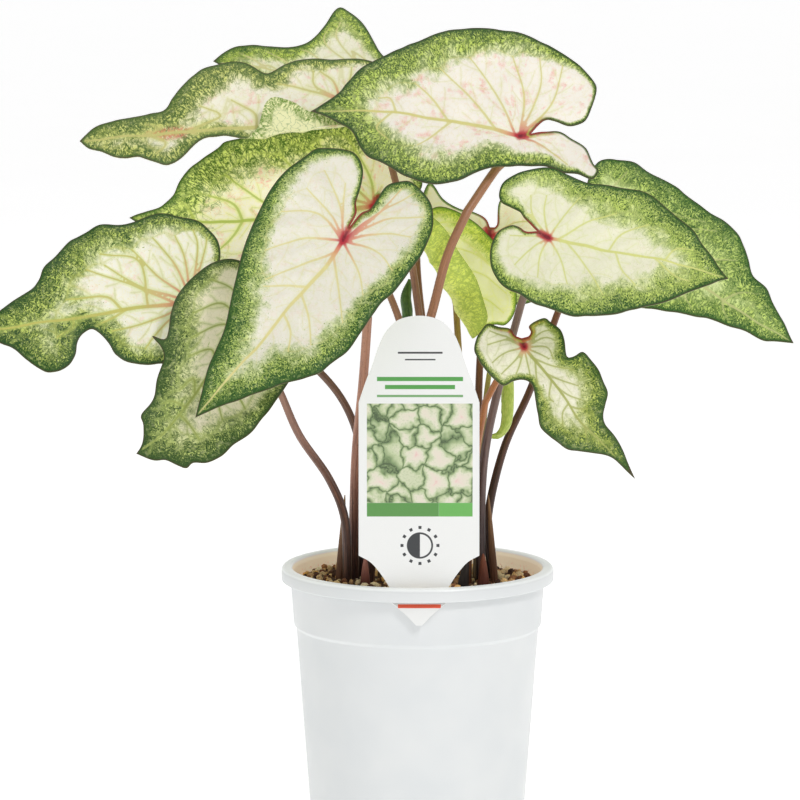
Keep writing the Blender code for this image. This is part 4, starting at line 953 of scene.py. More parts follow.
def make_stalk(number, name):
    """Stalk from the soil up to the underside of its blade."""
    leaf, stalk = LEAVES[name], STALKS[name]
    place = blade_surface(leaf)
    junction = np.array([leaf["junction"]], float)
    normal = normals_of(place, junction)[0]
    end = place(junction)[0]
    points = rooted(stalk["foot"], view_points(stalk["way"]))
    below = end - normal * (BLADE_THICKNESS / 2 + GAP)
    inward = unit(unit(below - points[-1]) + normal)
    neck = smooth_line([points[-2], points[-1], below - inward * NECK_LENGTH, end], STALK_STEP)
    centres = np.vstack([smooth_line(points[:-1], STALK_STEP)[:-1], neck])
    low, high = stalk["sizes"]
    share = np.linspace(0.0, 1.0, len(centres))
    radii = 0.5 * (low + (high - low) * share)
    verts, faces, facts = tube(centres, radii, STALK_SIDES, (end - normal * END_INSIDE, normal))
    facts["skin"] += [STALK_SHIFT * number, 0.0, 0.0]
    return piece("petiole_" + name, verts, faces, stalk_finish(name), "stalk_" + name, facts)


def make_furled(name):
    """Young leaf that is still rolled up: a stalk that widens into a roll with an overlapping edge."""
    roll = FURLED[name]
    way = roll["way"]
    centres = rooted(roll["foot"], view_points([point[:3] for point in way]))
    radii = [way[0][3]] * (len(centres) - len(way)) + [point[3] for point in way]
    line = smooth_line(np.column_stack([centres, radii]), FURL_STEP)
    blade_from = ROLL_STARTS[name]

    def shape(share, angle):
        grown = float(fade(np.array(share), blade_from, blade_from + ROLL_GROWTH))
        turn = (angle / math.tau + ROLL_TWIST * share) % 1.0
        return 1.0 + ROLL_STEP * grown * (turn - 0.5)

    verts, faces, facts = tube(line[:, :3], line[:, 3], ROLL_SIDES, shape=shape)
    facts["roll"] = fade(facts["rise"], blade_from - 0.02, blade_from + 0.05)
    return piece(name + "_roll", verts, faces, furled_finish(name), name, facts)


def make_sheath(name):
    """Papery sheath or bud at the foot of the stalks: a tapered, slightly flattened and ribbed scale."""
    sheath = SHEATHS[name]
    x, y = sheath["foot"]
    top = POT_HEIGHT - SOIL_BELOW_RIM
    tip = view_points([sheath["top"]])[0]
    ground = np.array([x, y, top])
    centres = [np.array([x, y, top - STALK_DEPTH / 2])]
    centres += [ground + (tip - ground) * share for share, _ in SHEATH_TAPER]
    radii = [sheath["radius"]] + [sheath["radius"] * share for _, share in SHEATH_TAPER]
    line = smooth_line(np.column_stack([centres, radii]), SHEATH_STEP)

    def shape(share, angle):
        ribs = SHEATH_RIBS * math.sin(SHEATH_RIB_COUNT * angle + 4 * share) * (1 - share)
        return 1.0 + ribs + SHEATH_CREASE * math.cos(2 * angle + 3 * share)

    verts, faces, facts = tube(line[:, :3], np.maximum(line[:, 3], SHEATH_TIP), STALK_SIDES, shape=shape)
    return piece(name + "_scale", verts, faces, sheath_finish(name), name, facts)


def soil_height(x, y):
    """Height of the soil's surface in mm."""
    wide, narrow = SOIL_WAVES
    rise = noise.noise(Vector((x / wide, y / wide, 0.5)))
    rise += 0.5 * noise.noise(Vector((x / narrow, y / narrow, 3.5)))
    return POT_HEIGHT - SOIL_BELOW_RIM + SOIL_RELIEF * rise


def wall_radius(height):
    """Outer radius of the pot's wall below the lip."""
    run = POT_HEIGHT - LIP_DEPTH
    radius = BASE_RADIUS + (NECK_RADIUS - STEP_WIDTH - BASE_RADIUS) / run * height
    return radius + STEP_WIDTH if height > POT_HEIGHT - STEP_BELOW_RIM else radius


def make_soil():
    """The soil's body, closed from its uneven surface down to the floor, and the loose grains on it."""
    step, top = POT_HEIGHT - STEP_BELOW_RIM, POT_HEIGHT - SOIL_BELOW_RIM
    clear = WALL + GAP
    outer = wall_radius(top) - clear
    turns = np.arange(ROUND_STEPS) * math.tau / ROUND_STEPS
    ring = np.column_stack([np.cos(turns), np.sin(turns)])
    flat, faces = flat_net(ring * outer, [], SOIL_GRID)
    heights = [soil_height(x, y) + SOIL_ROUGHNESS * noise.noise(Vector((x, y, 7.5))) for x, y in flat]
    verts = np.column_stack([flat, heights])
    rim = [int(np.argmin(np.linalg.norm(flat - point, axis=1))) for point in ring * outer]
    levels = [(wall_radius(step + at) - clear, step + height) for at, height in SOIL_STEP]
    levels.append((wall_radius(FLOOR) - clear, FLOOR + GAP))
    for radius, height in levels:
        lower = [len(verts) + k for k in range(ROUND_STEPS)]
        verts = np.vstack([verts, np.column_stack([ring * radius, np.full(ROUND_STEPS, height)])])
        for k in range(ROUND_STEPS):
            after = (k + 1) % ROUND_STEPS
            faces.append((rim[k], lower[k], lower[after], rim[after]))
        rim = lower
    faces.append(tuple(reversed(rim)))
    made = piece("potting_mix", verts, faces, soil_finish("soil_finish", False), "soil")
    made.data.shade_flat()
    verts, faces, tints = grains(outer)
    finish = soil_finish("grain_finish", True)
    crumbs = piece("potting_mix_grains", verts, faces, finish, "soil", {"tint": tints})
    crumbs.data.shade_flat()


def grains(outer):
    """Crumbs of bark, clay and grit scattered over the soil, clear of the stalks and the wall."""
    work = bmesh.new()
    bmesh.ops.create_icosphere(work, subdivisions=2, radius=1.0)
    ball = np.array([v.co[:] for v in work.verts])
    net = [[v.index for v in face.verts] for face in work.faces]
    work.free()
    draw = np.random.default_rng(GRAIN_SEED)
    feet = [(s["foot"], s["sizes"][0] / 2) for s in STALKS.values()]
    feet += [(r["foot"], r["way"][0][3]) for r in FURLED.values()]
    feet += [(s["foot"], s["radius"]) for s in SHEATHS.values()]
    spots = np.array([foot for foot, _ in feet], float)
    widths = np.array([radius for _, radius in feet])
    verts, faces, tints = [], [], []
    small, large = GRAIN_SIZES
    while len(verts) < GRAIN_COUNT:
        size = small + (large - small) * draw.random() ** GRAIN_SMALLNESS
        angle, radius = draw.uniform(0, math.tau), (outer - size) * math.sqrt(draw.random())
        spot = np.array([math.cos(angle), math.sin(angle)]) * radius
        if (np.linalg.norm(spots - spot, axis=1) < widths + size + GRAIN_CLEAR).any():
            continue
        turn = np.linalg.qr(draw.normal(size=(3, 3)))[0]
        turn *= np.sign(np.linalg.det(turn))
        shape = ball * (1 + GRAIN_BUMPS * draw.normal(size=(len(ball), 1)))
        shape = shape * draw.uniform(*GRAIN_STRETCHES, 3) * size
        lift = soil_height(*spot) + size * draw.uniform(*GRAIN_LIFTS)
        faces += [[len(verts) * len(ball) + i for i in face] for face in net]
        verts.append(shape @ turn.T + [*spot, lift])
        tints += [draw.random()] * len(ball)
    return np.vstack(verts), faces, tints


def rounded(profile, radii):
    """Profile with each corner replaced by a round of its own radius, kept within half of its sides."""
    profile = [np.array(point, float) for point in profile]
    points = []
    for i, corner in enumerate(profile):
        before, after = profile[i - 1], profile[(i + 1) % len(profile)]
        into, out = unit(before - corner), unit(after - corner)
        room = CORNER_SHARE * min(np.linalg.norm(before - corner), np.linalg.norm(after - corner))
        bend = math.acos(float(np.clip(into @ out, -1.0, 1.0)))
        reach = min(radii[i] / math.tan(bend / 2), room) if radii[i] else 0.0
        if reach < SMALLEST_ROUND:
            points.append(corner)
            continue
        for t in np.linspace(0.0, 1.0, CORNER_STEPS + 1):
            points.append(corner + into * reach * (1 - t) ** 2 + out * reach * t ** 2)
    return points


def turned(profile):
    """Solid turned about the upright axis from a profile of (radius, height), closed at its floor."""
    count = len(profile)
    verts, faces = [], []
    for step in range(ROUND_STEPS):
        angle = math.tau * step / ROUND_STEPS
        x, y = math.cos(angle), math.sin(angle)
        verts += [(radius * x, radius * y, height) for radius, height in profile]
    for step in range(ROUND_STEPS):
        here, there = step * count, (step + 1) % ROUND_STEPS * count
        for i in range(count - 1):
            faces.append((here + i, there + i, there + i + 1, here + i + 1))
    faces.append(tuple(step * count for step in reversed(range(ROUND_STEPS))))
    faces.append(tuple(step * count + count - 1 for step in range(ROUND_STEPS)))
    return verts, faces


def plain_object(name, verts, faces):
    mesh = bpy.data.meshes.new(name)
    mesh.from_pydata(np.asarray(verts) * MM, [], faces)
    made = bpy.data.objects.new(name, mesh)
    bpy.context.collection.objects.link(made)
    return made


def cut(thing, tools):
    """Takes the tools' volumes out of a thing, and removes the tools."""
    for tool in tools:
        change = thing.modifiers.new("cut", "BOOLEAN")
        change.operation = "DIFFERENCE"
        change.solver = "EXACT"
        change.object = tool
    graph = bpy.context.evaluated_depsgraph_get()
    mesh = bpy.data.meshes.new_from_object(thing.evaluated_get(graph))
    thing.modifiers.clear()
    thing.data = mesh
    for tool in tools:
        bpy.data.objects.remove(tool, do_unlink=True)


def tag_place(flat):
    """The tag's middle surface: its drawing bent to the line that it follows down through the pot's lip."""
    line = smooth_line(TAG_LINE, 1.0)[::-1]
    return np.column_stack([flat[:, 0], np.interp(flat[:, 1], line[:, 1], line[:, 0]), flat[:, 1]])


def tag_outline():
    """The tag's edge: the middle of its top, then crown, hip and foot down the right and up the left."""
    right = np.vstack([smooth_line(curve, TAG_EDGE_STEP) for curve in TAG_CURVES])
    right = right[right[:, 0] > TAG_MIDDLE]
    left = right[::-1] * [-1, 1]
    return np.vstack([[TAG_TOP], right, left])[::-1] + [TAG_ACROSS, 0]


def make_tag():
    """Plastic card that leans back behind the lip and bends forward through the slot below it."""
    across = np.linspace(-TAG_FOLD_HALF, TAG_FOLD_HALF, TAG_FOLD_POINTS)
    bends = [np.array([(x, height) for x in across]) + [TAG_ACROSS, 0] for height in TAG_FOLDS]
    flat, faces = flat_net(tag_outline(), bends, TAG_GRID)
    half = np.full(len(flat), TAG_THICKNESS / 2)
    verts, shell = closed_sheet(flat, faces, tag_place, half, half)
    front = np.repeat([1.0, 0.0], len(flat))
    print_at = np.column_stack([np.tile(flat - [TAG_ACROSS, 0], (2, 1)), front])
    return piece("plant_tag", verts, shell, tag_finish(), "tag", {"printed": print_at})


def make_pot():
    """Thin-walled pot with a rolled lip, a step in the wall, drain holes and the slot for the tag."""
    rim, neck = POT_HEIGHT, POT_HEIGHT - LIP_DEPTH
    step = POT_HEIGHT - STEP_BELOW_RIM
    below, above = step - STEP_SLOPE[0], step + STEP_SLOPE[1]
    inner_neck = NECK_RADIUS - WALL
    core = DRAIN_CIRCLE - 2 * DRAIN_RADIUS
    corners = [
        ((core, 0.0), 0), ((BASE_RADIUS, 0.0), 1.6), ((wall_radius(below), below), 0.8),
        ((wall_radius(above), above), 0.8), ((NECK_RADIUS, neck), 0),
        ((NECK_RADIUS, rim - LIP_TOP), 0.4), ((LIP_RADIUS - WALL, rim - LIP_TOP), 0.3),
        ((LIP_RADIUS - WALL, neck), 0), ((LIP_RADIUS, neck), 1.0), ((LIP_RADIUS, rim), LIP_ROUND),
        ((LIP_RADIUS - LIP_WIDTH, rim), 1.3), ((inner_neck, rim - LIP_TOP - 0.4), 0.6),
        ((inner_neck, neck), 0.6), ((wall_radius(above) - WALL, above), 0.8),
        ((wall_radius(below) - WALL, below), 0.8), ((wall_radius(FLOOR) - WALL, FLOOR), 1.0),
        ((core, FLOOR), 0),
    ]
    verts, faces = turned(rounded([point for point, _ in corners], [radius for _, radius in corners]))
    pot = plain_object("growers_pot", verts, faces)
    tools = []
    for i in range(DRAIN_HOLES):
        angle = math.tau * (i + 0.5) / DRAIN_HOLES
        x, y = DRAIN_CIRCLE * math.cos(angle), DRAIN_CIRCLE * math.sin(angle)
        ends = np.array([(x, y, -DRAIN_OVERRUN), (x, y, FLOOR + DRAIN_OVERRUN)])
        tools.append(plain_object("drain", *tube(ends, [DRAIN_RADIUS] * 2, DRAIN_SIDES)[:2]))
    low, high = rim - SLOT_BOTTOM_BELOW_RIM, rim - SLOT_TOP_BELOW_RIM
    half = SLOT_HALF_WIDTH
    corners = np.array([(-half, low), (half, low), (half, high), (-half, high)]) + [TAG_ACROSS, 0]
    side = half - SLOT_INSET
    lines = [np.array([(-side, z), (side, z)]) + [TAG_ACROSS, 0]
             for z in np.linspace(low, high, SLOT_LEVELS)[1:-1]]
    flat, net = flat_net(corners, lines, 2 * half)
    reach = np.full(len(flat), TAG_THICKNESS / 2 + SLOT_CLEARANCE)
    tools.append(plain_object("slot", *closed_sheet(flat, net, tag_place, reach, reach)))
    cut(pot, tools)
    pot.data.shade_smooth()
    pot.data.set_sharp_from_angle(angle=SHARP_ANGLE)
    pot.data.materials.clear()
    pot.data.materials.append(pot_finish())
    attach(pot, "root")
    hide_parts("pot")


class Graph:
    """A material under construction: each call adds a node and gives its result."""

    def __init__(self, name, roughness):
        self.material = bpy.data.materials.new(name)
        self.material.use_nodes = True
        self.tree = self.material.node_tree
        self.shader = self.tree.nodes["Principled BSDF"]
        self.colour = None
        self.shader.inputs["Roughness"].default_value = roughness

    def add(self, kind, **settings):
        node = self.tree.nodes.new(kind)
        for key, value in settings.items():
            setattr(node, key, value)
        return node

    def feed(self, socket, value):
        if isinstance(value, bpy.types.NodeSocket):
            self.tree.links.new(value, socket)
        else:
            socket.default_value = value

    def math(self, operation, first, second=0.0):
        node = self.add("ShaderNodeMath", operation=operation)
        self.feed(node.inputs[0], first)
        self.feed(node.inputs[1], second)
        return node.outputs[0]

    def times(self, *values):
        result = values[0]
        for value in values[1:]:
            result = self.math("MULTIPLY", result, value)
        return result

    def plus(self, *values):
        result = values[0]
        for value in values[1:]:
            result = self.math("ADD", result, value)
        return result

    def minus(self, first, second):
        return self.math("SUBTRACT", first, second)

    def larger(self, first, second):
        return self.math("MAXIMUM", first, second)

    def fact(self, name, kind="Fac"):
        """A fact that the mesh carries at each point: a number, or with kind Vector a place."""
        return self.add("ShaderNodeAttribute", attribute_name=name).outputs[kind]

    def parts(self, vector):
        node = self.add("ShaderNodeSeparateXYZ")
        self.feed(node.inputs[0], vector)
        return node.outputs[:]

    def vector(self, x, y, z):
        node = self.add("ShaderNodeCombineXYZ")
        for socket, value in zip(node.inputs, (x, y, z)):
            self.feed(socket, value)
        return node.outputs[0]

    def stretch(self, vector, *scales):
        node = self.add("ShaderNodeVectorMath", operation="MULTIPLY")
        self.feed(node.inputs[0], vector)
        node.inputs[1].default_value = scales
        return node.outputs[0]

    def moved(self, vector, shift):
        node = self.add("ShaderNodeVectorMath", operation="ADD")
        self.feed(node.inputs[0], vector)
        self.feed(node.inputs[1], shift)
        return node.outputs[0]

    def noise(self, vector, scale, detail=2.0, rough=0.5):
        """Noise spread over 0 to 1, with features about 1 / scale across."""
        node = self.add("ShaderNodeTexNoise")
        self.feed(node.inputs["Vector"], vector)
        node.inputs["Scale"].default_value = scale
        node.inputs["Detail"].default_value = detail
        node.inputs["Roughness"].default_value = rough
        return self.rise(node.outputs["Fac"], 0.28, 0.72, "LINEAR")

    def cells(self, vector, scale):
        """Distance to the edges between cells about 1 / scale across."""
        node = self.add("ShaderNodeTexVoronoi", feature="DISTANCE_TO_EDGE")
        self.feed(node.inputs["Vector"], vector)
        node.inputs["Scale"].default_value = scale
        return node.outputs["Distance"]

    def rise(self, value, low, high, kind="SMOOTHSTEP"):
        """0 up to low and 1 from high; with low above high it falls."""
        node = self.add("ShaderNodeMapRange", interpolation_type=kind)
        self.feed(node.inputs["Value"], value)
        rises = low < high
        node.inputs["From Min"].default_value, node.inputs["From Max"].default_value = sorted((low, high))
        node.inputs["To Min"].default_value = 0.0 if rises else 1.0
        node.inputs["To Max"].default_value = 1.0 if rises else 0.0
        return node.outputs["Result"]

    def ramp(self, value, stops, span=1.0):
        """Colour, or a number from 0 to 1, by value, from (value, result) pairs."""
        node = self.add("ShaderNodeValToRGB")
        elements = node.color_ramp.elements
        while len(elements) < len(stops):
            elements.new(0.5)
        for element, (at, result) in zip(elements, stops):
            element.position = at / span
            element.color = rgb(*result) if isinstance(result, tuple) else (result, result, result, 1.0)
        self.feed(node.inputs[0], self.math("DIVIDE", value, span) if span != 1.0 else value)
        return node.outputs["Color"]

    def paint(self, under, over, share):
        """One colour laid over another in some share."""
        node = self.add("ShaderNodeMix", data_type="RGBA")
        self.feed(node.inputs[0], share)
        self.feed(node.inputs[6], rgb(*under) if isinstance(under, tuple) else under)
        self.feed(node.inputs[7], rgb(*over) if isinstance(over, tuple) else over)
        return node.outputs[2]

    def lay(self, over, *shares):
        """Lays a colour over what is there so far, as strongly as all the shares together."""
        self.colour = self.paint(self.colour, over, self.times(*shares))

    def finish(self, roughness=None, height=None, depth=0.1, strength=0.5):
        """Joins the colour so far, a roughness and a height of depth mm to the shader."""
        self.feed(self.shader.inputs["Base Color"], self.colour)
        if roughness is not None:
            self.feed(self.shader.inputs["Roughness"], roughness)
        if height is not None:
            bump = self.add("ShaderNodeBump")
            bump.inputs["Strength"].default_value = strength
            bump.inputs["Distance"].default_value = depth * MM
            self.feed(bump.inputs["Height"], height)
            self.feed(self.shader.inputs["Normal"], bump.outputs[0])
        return self.material


# Patterns on the blades: features are about 1 / scale mm across.
BROAD_SCALE = 0.09
BLOTCH_SCALE = 0.28
FLECK_SCALE = 1.45
SPECK_SCALES = (2.1, 1.0)
THREAD_SCALES = (0.62, 0.24)
NET_SCALE = 0.3
FINE_NET_SCALE = 0.85

# How far the flecks cover the blade by the depth in the green band, which is 0 at the margin and 1 at the
# band's inner edge.
FLECK_COVER = [(0.0, 1.0), (0.1, 0.9), (0.22, 0.74), (0.42, 0.58), (0.65, 0.45), (0.9, 0.31), (1.15, 0.19),
               (1.45, 0.09), (1.9, 0.0)]
DEEPEST = 2.0

# Where each thing starts to show and where it shows fully: by depth in the green band, by share of a vein's
# half width or of a cell of the net, or by mm from the margin, from a vein or from the notch of the sinus.
FLECK_EDGE = (-0.05, 0.05)
THREAD_EDGE = (0.24, 0.03)
THREAD_GAPS = (0.1, 0.5)
THREAD_BAND = (1.35, 0.7)
INWARD = (0.75, 1.3)
STROKE_EDGE = (1.3, 0.3)
VEIN_HALO = (5.5, 1.0)
RIB_HALO = (3.5, 0.8)
SMALL_HALO = (7.0, 1.0)
NET_LINE = (0.075, 0.0)
FINE_NET_LINE = (0.1, 0.0)
NET_BAND = (1.6, 0.5)
DARK_NET_BAND = (1.5, 0.8)
FINE_NET_BAND = (1.2, 0.4)
PLAIN_VEINS = (0.1, 0.8)
DARK_VEINS = (1.1, 0.6)
RIB_EDGE = (1.3, 0.6)
VEIN_EDGE = (1.6, 0.5)
SMALL_VEIN_EDGE = (1.8, 0.5)
SINUS_REACH = (14.0, 7.0)
SINUS_LIP = (2.6, 1.4)
INNER_LINE = ((1.5, 2.1), (2.8, 2.2))
MARGIN_DARK = (1.5, 0.6)
MARGIN_EDGE = (0.55, 0.2)
RIM_EDGE = (1.1, 0.5)

# How bumpy a blade is: the fine net, the net and the flecks, and the depth of all in mm.
RELIEF_SHARES = (-0.35, -0.5, 0.3)
RELIEF_DEPTH = 0.25

# Colours of the pink blotches and their specks, the red strokes, the heart and its middle, the lip of the
# sinus and its rim, the margin's very edge, and the veins seen from below.
PINK_BLOTCH = (242, 192, 178)
PINK_SPECK = (234, 140, 140)
RED_STROKE = (212, 96, 88)
HEART_RED = (184, 40, 56)
HEART_DARK = (104, 10, 30)
LIP_COLOURS = ((196, 186, 84), (206, 112, 66))
RIM_RED = (158, 40, 46)
EDGE_BROWN = (74, 56, 40)
NET_BELOW = (118, 150, 62)

# Red of the veins by the distance from the junction in mm, for a blade whose red runs RED_RUN mm out.
VEIN_REDS = [(0.0, (150, 20, 44)), (3.0, (190, 52, 62)), (6.0, (214, 118, 96)), (11.0, (222, 170, 124))]
VEIN_PLAIN_FROM = 22.0
RED_RUN = 9.0
RED_SPAN = 40.0

# Share of each part of its colour, red, green and blue, in the light that comes through a blade.
THROUGH_TINT = (0.95, 1.0, 0.7)


def mixed(first, second, share):
    """A colour so far on the way from the first to the second."""
    return tuple(round((1 - share) * a + share * b) for a, b in zip(first, second))


def dimmed(colour, share):
    return tuple(round(share * c) for c in colour)


def leaf_finish(name, look):
    """Cream blade with flecked green margin, yellowish veins, a red heart and a paler underside."""
    g = Graph("leaf_finish_" + name, 0.42)
    g.shader.inputs["Specular IOR Level"].default_value = 0.3
    flat = g.fact("flat", "Vector")
    margin, around, green, rib, vein, minor, reach = (
        g.fact(key) for key in ("margin", "around", "green", "rib", "vein", "minor", "reach"))

    # The green band: light ground, dark flecks and dark threads across it
    broad, blotch = g.noise(flat, BROAD_SCALE), g.noise(flat, BLOTCH_SCALE, 3.0)
    fleck = g.noise(flat, FLECK_SCALE, 2.0, 0.6)
    wobble = g.plus(g.times(g.minus(broad, 0.5), 0.5), g.times(g.minus(blotch, 0.5), 0.35))
    depth = g.plus(green, g.times(wobble, g.rise(green, 0.0, 0.5)))
    across = g.plus(around, g.times(blotch, 2.0))
    wide, deep = THREAD_SCALES
    lanes = g.vector(g.times(across, wide), g.times(margin, deep), 3.0)
    threads = g.rise(g.cells(lanes, 1.0), *THREAD_EDGE)
    threads = g.times(threads, g.rise(fleck, *THREAD_GAPS), g.rise(depth, *THREAD_BAND), look["streaks"])
    wide, deep = SPECK_SCALES
    speck = g.noise(g.vector(g.times(across, wide), g.times(margin, deep), 7.0), 1.0, 2.0, 0.6)
    cover = g.ramp(depth, FLECK_COVER, DEEPEST)
    flecks = g.rise(g.minus(g.times(cover, look["dense"]), speck), *FLECK_EDGE)
    body, light, dark = look["body"], look["light"], look["dark"]
    pale, middle = mixed(body, light, 0.55), mixed(dark, light, 0.5)
    ground = g.ramp(depth, [(0.0, middle), (0.2, light), (0.5, light), (0.8, pale), (1.25, body)], DEEPEST)
    shade = g.ramp(depth, [(0.0, dark), (0.55, dark), (1.1, middle), (1.7, light)], DEEPEST)
    g.colour = g.paint(ground, shade, g.larger(flecks, threads))
    g.lay(pale, g.rise(g.noise(flat, 0.5, 4.0), 0.62, 0.9), 0.25)

    # Pink blotches, red strokes and the green halo of the veins
    inward = g.rise(depth, *INWARD)
    rays = g.vector(g.times(g.fact("ray"), 7.0), g.times(reach, 0.09), 5.0)
    pink = g.times(g.rise(g.noise(rays, 1.0, 1.0), 0.4, 0.85), g.rise(g.noise(flat, 0.33, 3.0), 0.3, 0.85),
                   inward, look["pink"])
    g.lay(PINK_BLOTCH, pink)
    g.lay(PINK_SPECK, pink, g.rise(g.noise(flat, 1.3, 2.0), 0.6, 0.8), 0.7)
    ragged = g.rise(g.noise(flat, 0.9, 3.0), 0.0, 0.6)
    g.lay(RED_STROKE, g.rise(g.fact("blush"), *STROKE_EDGE), ragged, 0.92)
    halo = g.larger(g.rise(vein, *VEIN_HALO), g.rise(rib, *RIB_HALO))
    halo = g.larger(halo, g.times(g.rise(minor, *SMALL_HALO), 0.6))
    g.lay(light, halo, g.rise(g.plus(blotch, halo), 0.3, 1.2), look["halo"])

    # The fine net between the veins
    bend = g.stretch(g.vector(g.noise(flat, 0.35), g.noise(flat, 0.41), 0.0), 2.2, 2.2, 0.0)
    warped = g.moved(flat, bend)
    net = g.rise(g.cells(warped, NET_SCALE), *NET_LINE)
    fine = g.rise(g.cells(warped, FINE_NET_SCALE), *FINE_NET_LINE)
    g.lay(middle, net, g.rise(depth, *NET_BAND), 0.4)
    if look["net"]:
        g.lay(dark, net, g.rise(depth, *DARK_NET_BAND), look["net"])
    g.lay(look["vein"], net, inward, 0.16)
    g.lay(middle, fine, g.rise(depth, *FINE_NET_BAND), 0.22)

    # Small veins, side veins and midrib
    reds = VEIN_REDS + [(VEIN_PLAIN_FROM, look["vein"])]
    strand = g.ramp(g.math("DIVIDE", reach, look["red"] / RED_RUN), reds, RED_SPAN)
    faint = g.rise(depth, *PLAIN_VEINS)
    side_vein = g.times(g.rise(vein, *VEIN_EDGE), g.plus(0.2, g.times(faint, 0.6)))
    small_vein = g.times(g.rise(minor, *SMALL_VEIN_EDGE), g.plus(0.3, g.times(faint, 0.1)))
    g.lay(middle, small_vein, g.rise(depth, *DARK_VEINS))
    g.lay(look["vein"], small_vein, faint, 0.65)
    g.lay(strand, side_vein)
    g.lay(strand, g.rise(rib, *RIB_EDGE), g.plus(0.55, g.times(faint, 0.4)))

    # The red heart, the lip of the sinus, the margin and the underside
    near, radius = g.plus(g.fact("heart"), g.times(blotch, 0.8)), look["heart"]
    g.lay(HEART_RED, g.rise(near, radius + 1.6, radius), 0.9)
    g.lay(HEART_DARK, g.rise(near, 0.6 * radius + 0.7, 0.5), 0.85)
    sinus = g.fact("sinus")
    g.lay(g.paint(*LIP_COLOURS, g.rise(blotch, 0.4, 0.7)),
          g.rise(sinus, *SINUS_REACH), g.rise(margin, *SINUS_LIP), look["lip"])
    g.lay(dark, *(g.rise(margin, *edge) for edge in INNER_LINE), look["line"], 0.7)
    g.lay(dark, g.rise(margin, *MARGIN_DARK), 0.8)
    g.lay(EDGE_BROWN, g.rise(margin, *MARGIN_EDGE), 0.75)
    g.lay(RIM_RED, g.rise(sinus, look["rim"], 0.4 * look["rim"]), g.rise(margin, *RIM_EDGE), 0.8)
    below = g.paint(look["under"], NET_BELOW, g.larger(g.times(net, 0.6), threads))
    g.lay(below, g.fact("side"), look["backed"])

    # Painted glow in the blade's own colour, for the light that comes through it, and its relief
    g.feed(g.shader.inputs["Emission Color"], g.stretch(g.colour, *THROUGH_TINT))
    g.feed(g.shader.inputs["Emission Strength"], look["glow"])
    relief = g.plus(*(g.times(part, share) for part, share in zip((fine, net, fleck), RELIEF_SHARES)))
    return g.finish(g.plus(0.38, g.times(blotch, 0.12)), relief, RELIEF_DEPTH)


def streaks_of(g, skin, scale, stretch):
    """Noise on a stalk's skin, drawn out lengthwise; the smaller the stretch, the longer the streaks."""
    return g.noise(g.stretch(skin, 1.0, 1.0, stretch), scale, 3.0, 0.6)


def stalk_finish(name):
    """Smooth stalk, streaked lengthwise, dark at the foot, with fine flecks."""
    g = Graph("stalk_finish_" + name, 0.34)
    skin, rise = g.fact("skin", "Vector"), g.fact("rise")
    low, middle, high = STALK_COLOURS[name]
    dark = dimmed(low, 0.5)
    paler = tuple(min(255, round(1.18 * c + 8)) for c in high)
    wander = g.plus(rise, g.times(g.minus(streaks_of(g, skin, 1.0, 0.04), 0.5), 0.16))
    g.colour = g.ramp(wander, [(0.0, dimmed(low, 0.72)), (0.15, low), (0.42, middle), (0.9, high)])
    streak = streaks_of(g, skin, 1.4, 0.035)
    g.lay(dark, g.rise(streak, 0.45, 0.95), g.rise(rise, 1.0, 0.1), 0.75)
    g.lay(paler, g.rise(streak, 0.4, 0.05), 0.35)
    g.lay(dark, g.rise(streaks_of(g, skin, 2.6, 0.35), 0.62, 0.85), 0.3)
    return g.finish(g.plus(0.3, g.times(streak, 0.14)), streak, 0.12, 0.4)


# Pale and dark green of each rolled leaf, and the colours of their stalks from the foot up.
ROLL_COLOURS = {"furled_centre": ((96, 134, 62), (44, 84, 40)),
                "furled_right": ((214, 224, 116), (158, 188, 62))}
ROLL_STALK = [(0.0, (84, 60, 36)), (0.35, (140, 116, 56)), (0.7, (172, 158, 70))]


def furled_finish(name):
    """Rolled young leaf: greenish roll with darker flecks on a yellow-brown stalk."""
    g = Graph("furled_finish_" + name, 0.4)
    skin = g.fact("skin", "Vector")
    streak = streaks_of(g, skin, 1.3, 0.05)
    g.colour = g.ramp(g.fact("rise"), ROLL_STALK)
    g.lay(g.paint(*ROLL_COLOURS[name], streaks_of(g, skin, 1.1, 0.4)), g.fact("roll"))
    g.lay((70, 66, 30), g.rise(streak, 0.6, 0.95), 0.3)
    return g.finish(g.plus(0.34, g.times(streak, 0.14)), streak, 0.12, 0.4)


SHEATH_COLOURS = {
    "sheath_left": [(104, 66, 44), (176, 140, 100)], "sheath_right": [(96, 60, 38), (170, 130, 88)],
    "bud_left": [(96, 44, 40), (206, 140, 124)], "sheath_dark": [(26, 20, 18), (48, 36, 30)],
    "crown_right": [(84, 36, 26), (150, 84, 54)],
}


def sheath_finish(name):
    """Dry papery scale with lengthwise fibres."""
    g = Graph("sheath_finish_" + name, 0.6)
    fibre = streaks_of(g, g.fact("skin", "Vector"), 1.8, 0.06)
    low, high = SHEATH_COLOURS[name]
    upward = g.rise(g.fact("rise"), 0.2, 1.0)
    g.colour = g.paint(low, high, g.times(upward, g.plus(0.4, g.times(fibre, 0.6))))
    g.lay(dimmed(low, 0.5), g.rise(fibre, 0.6, 0.95), 0.5)
    return g.finish(g.plus(0.5, g.times(fibre, 0.2)), fibre, 0.2, 0.6)


# Colours of the crumbs, of which each takes one by chance, and of the ground under them.
GRAIN_COLOURS = [
    (0.0, (52, 36, 30)), (0.16, (112, 70, 50)), (0.32, (172, 118, 78)), (0.46, (216, 174, 126)),
    (0.62, (242, 214, 166)), (0.78, (250, 230, 188)), (0.9, (246, 190, 104)), (1.0, (252, 240, 212)),
]
GROUND_COLOURS = ((48, 32, 26), (120, 82, 56))


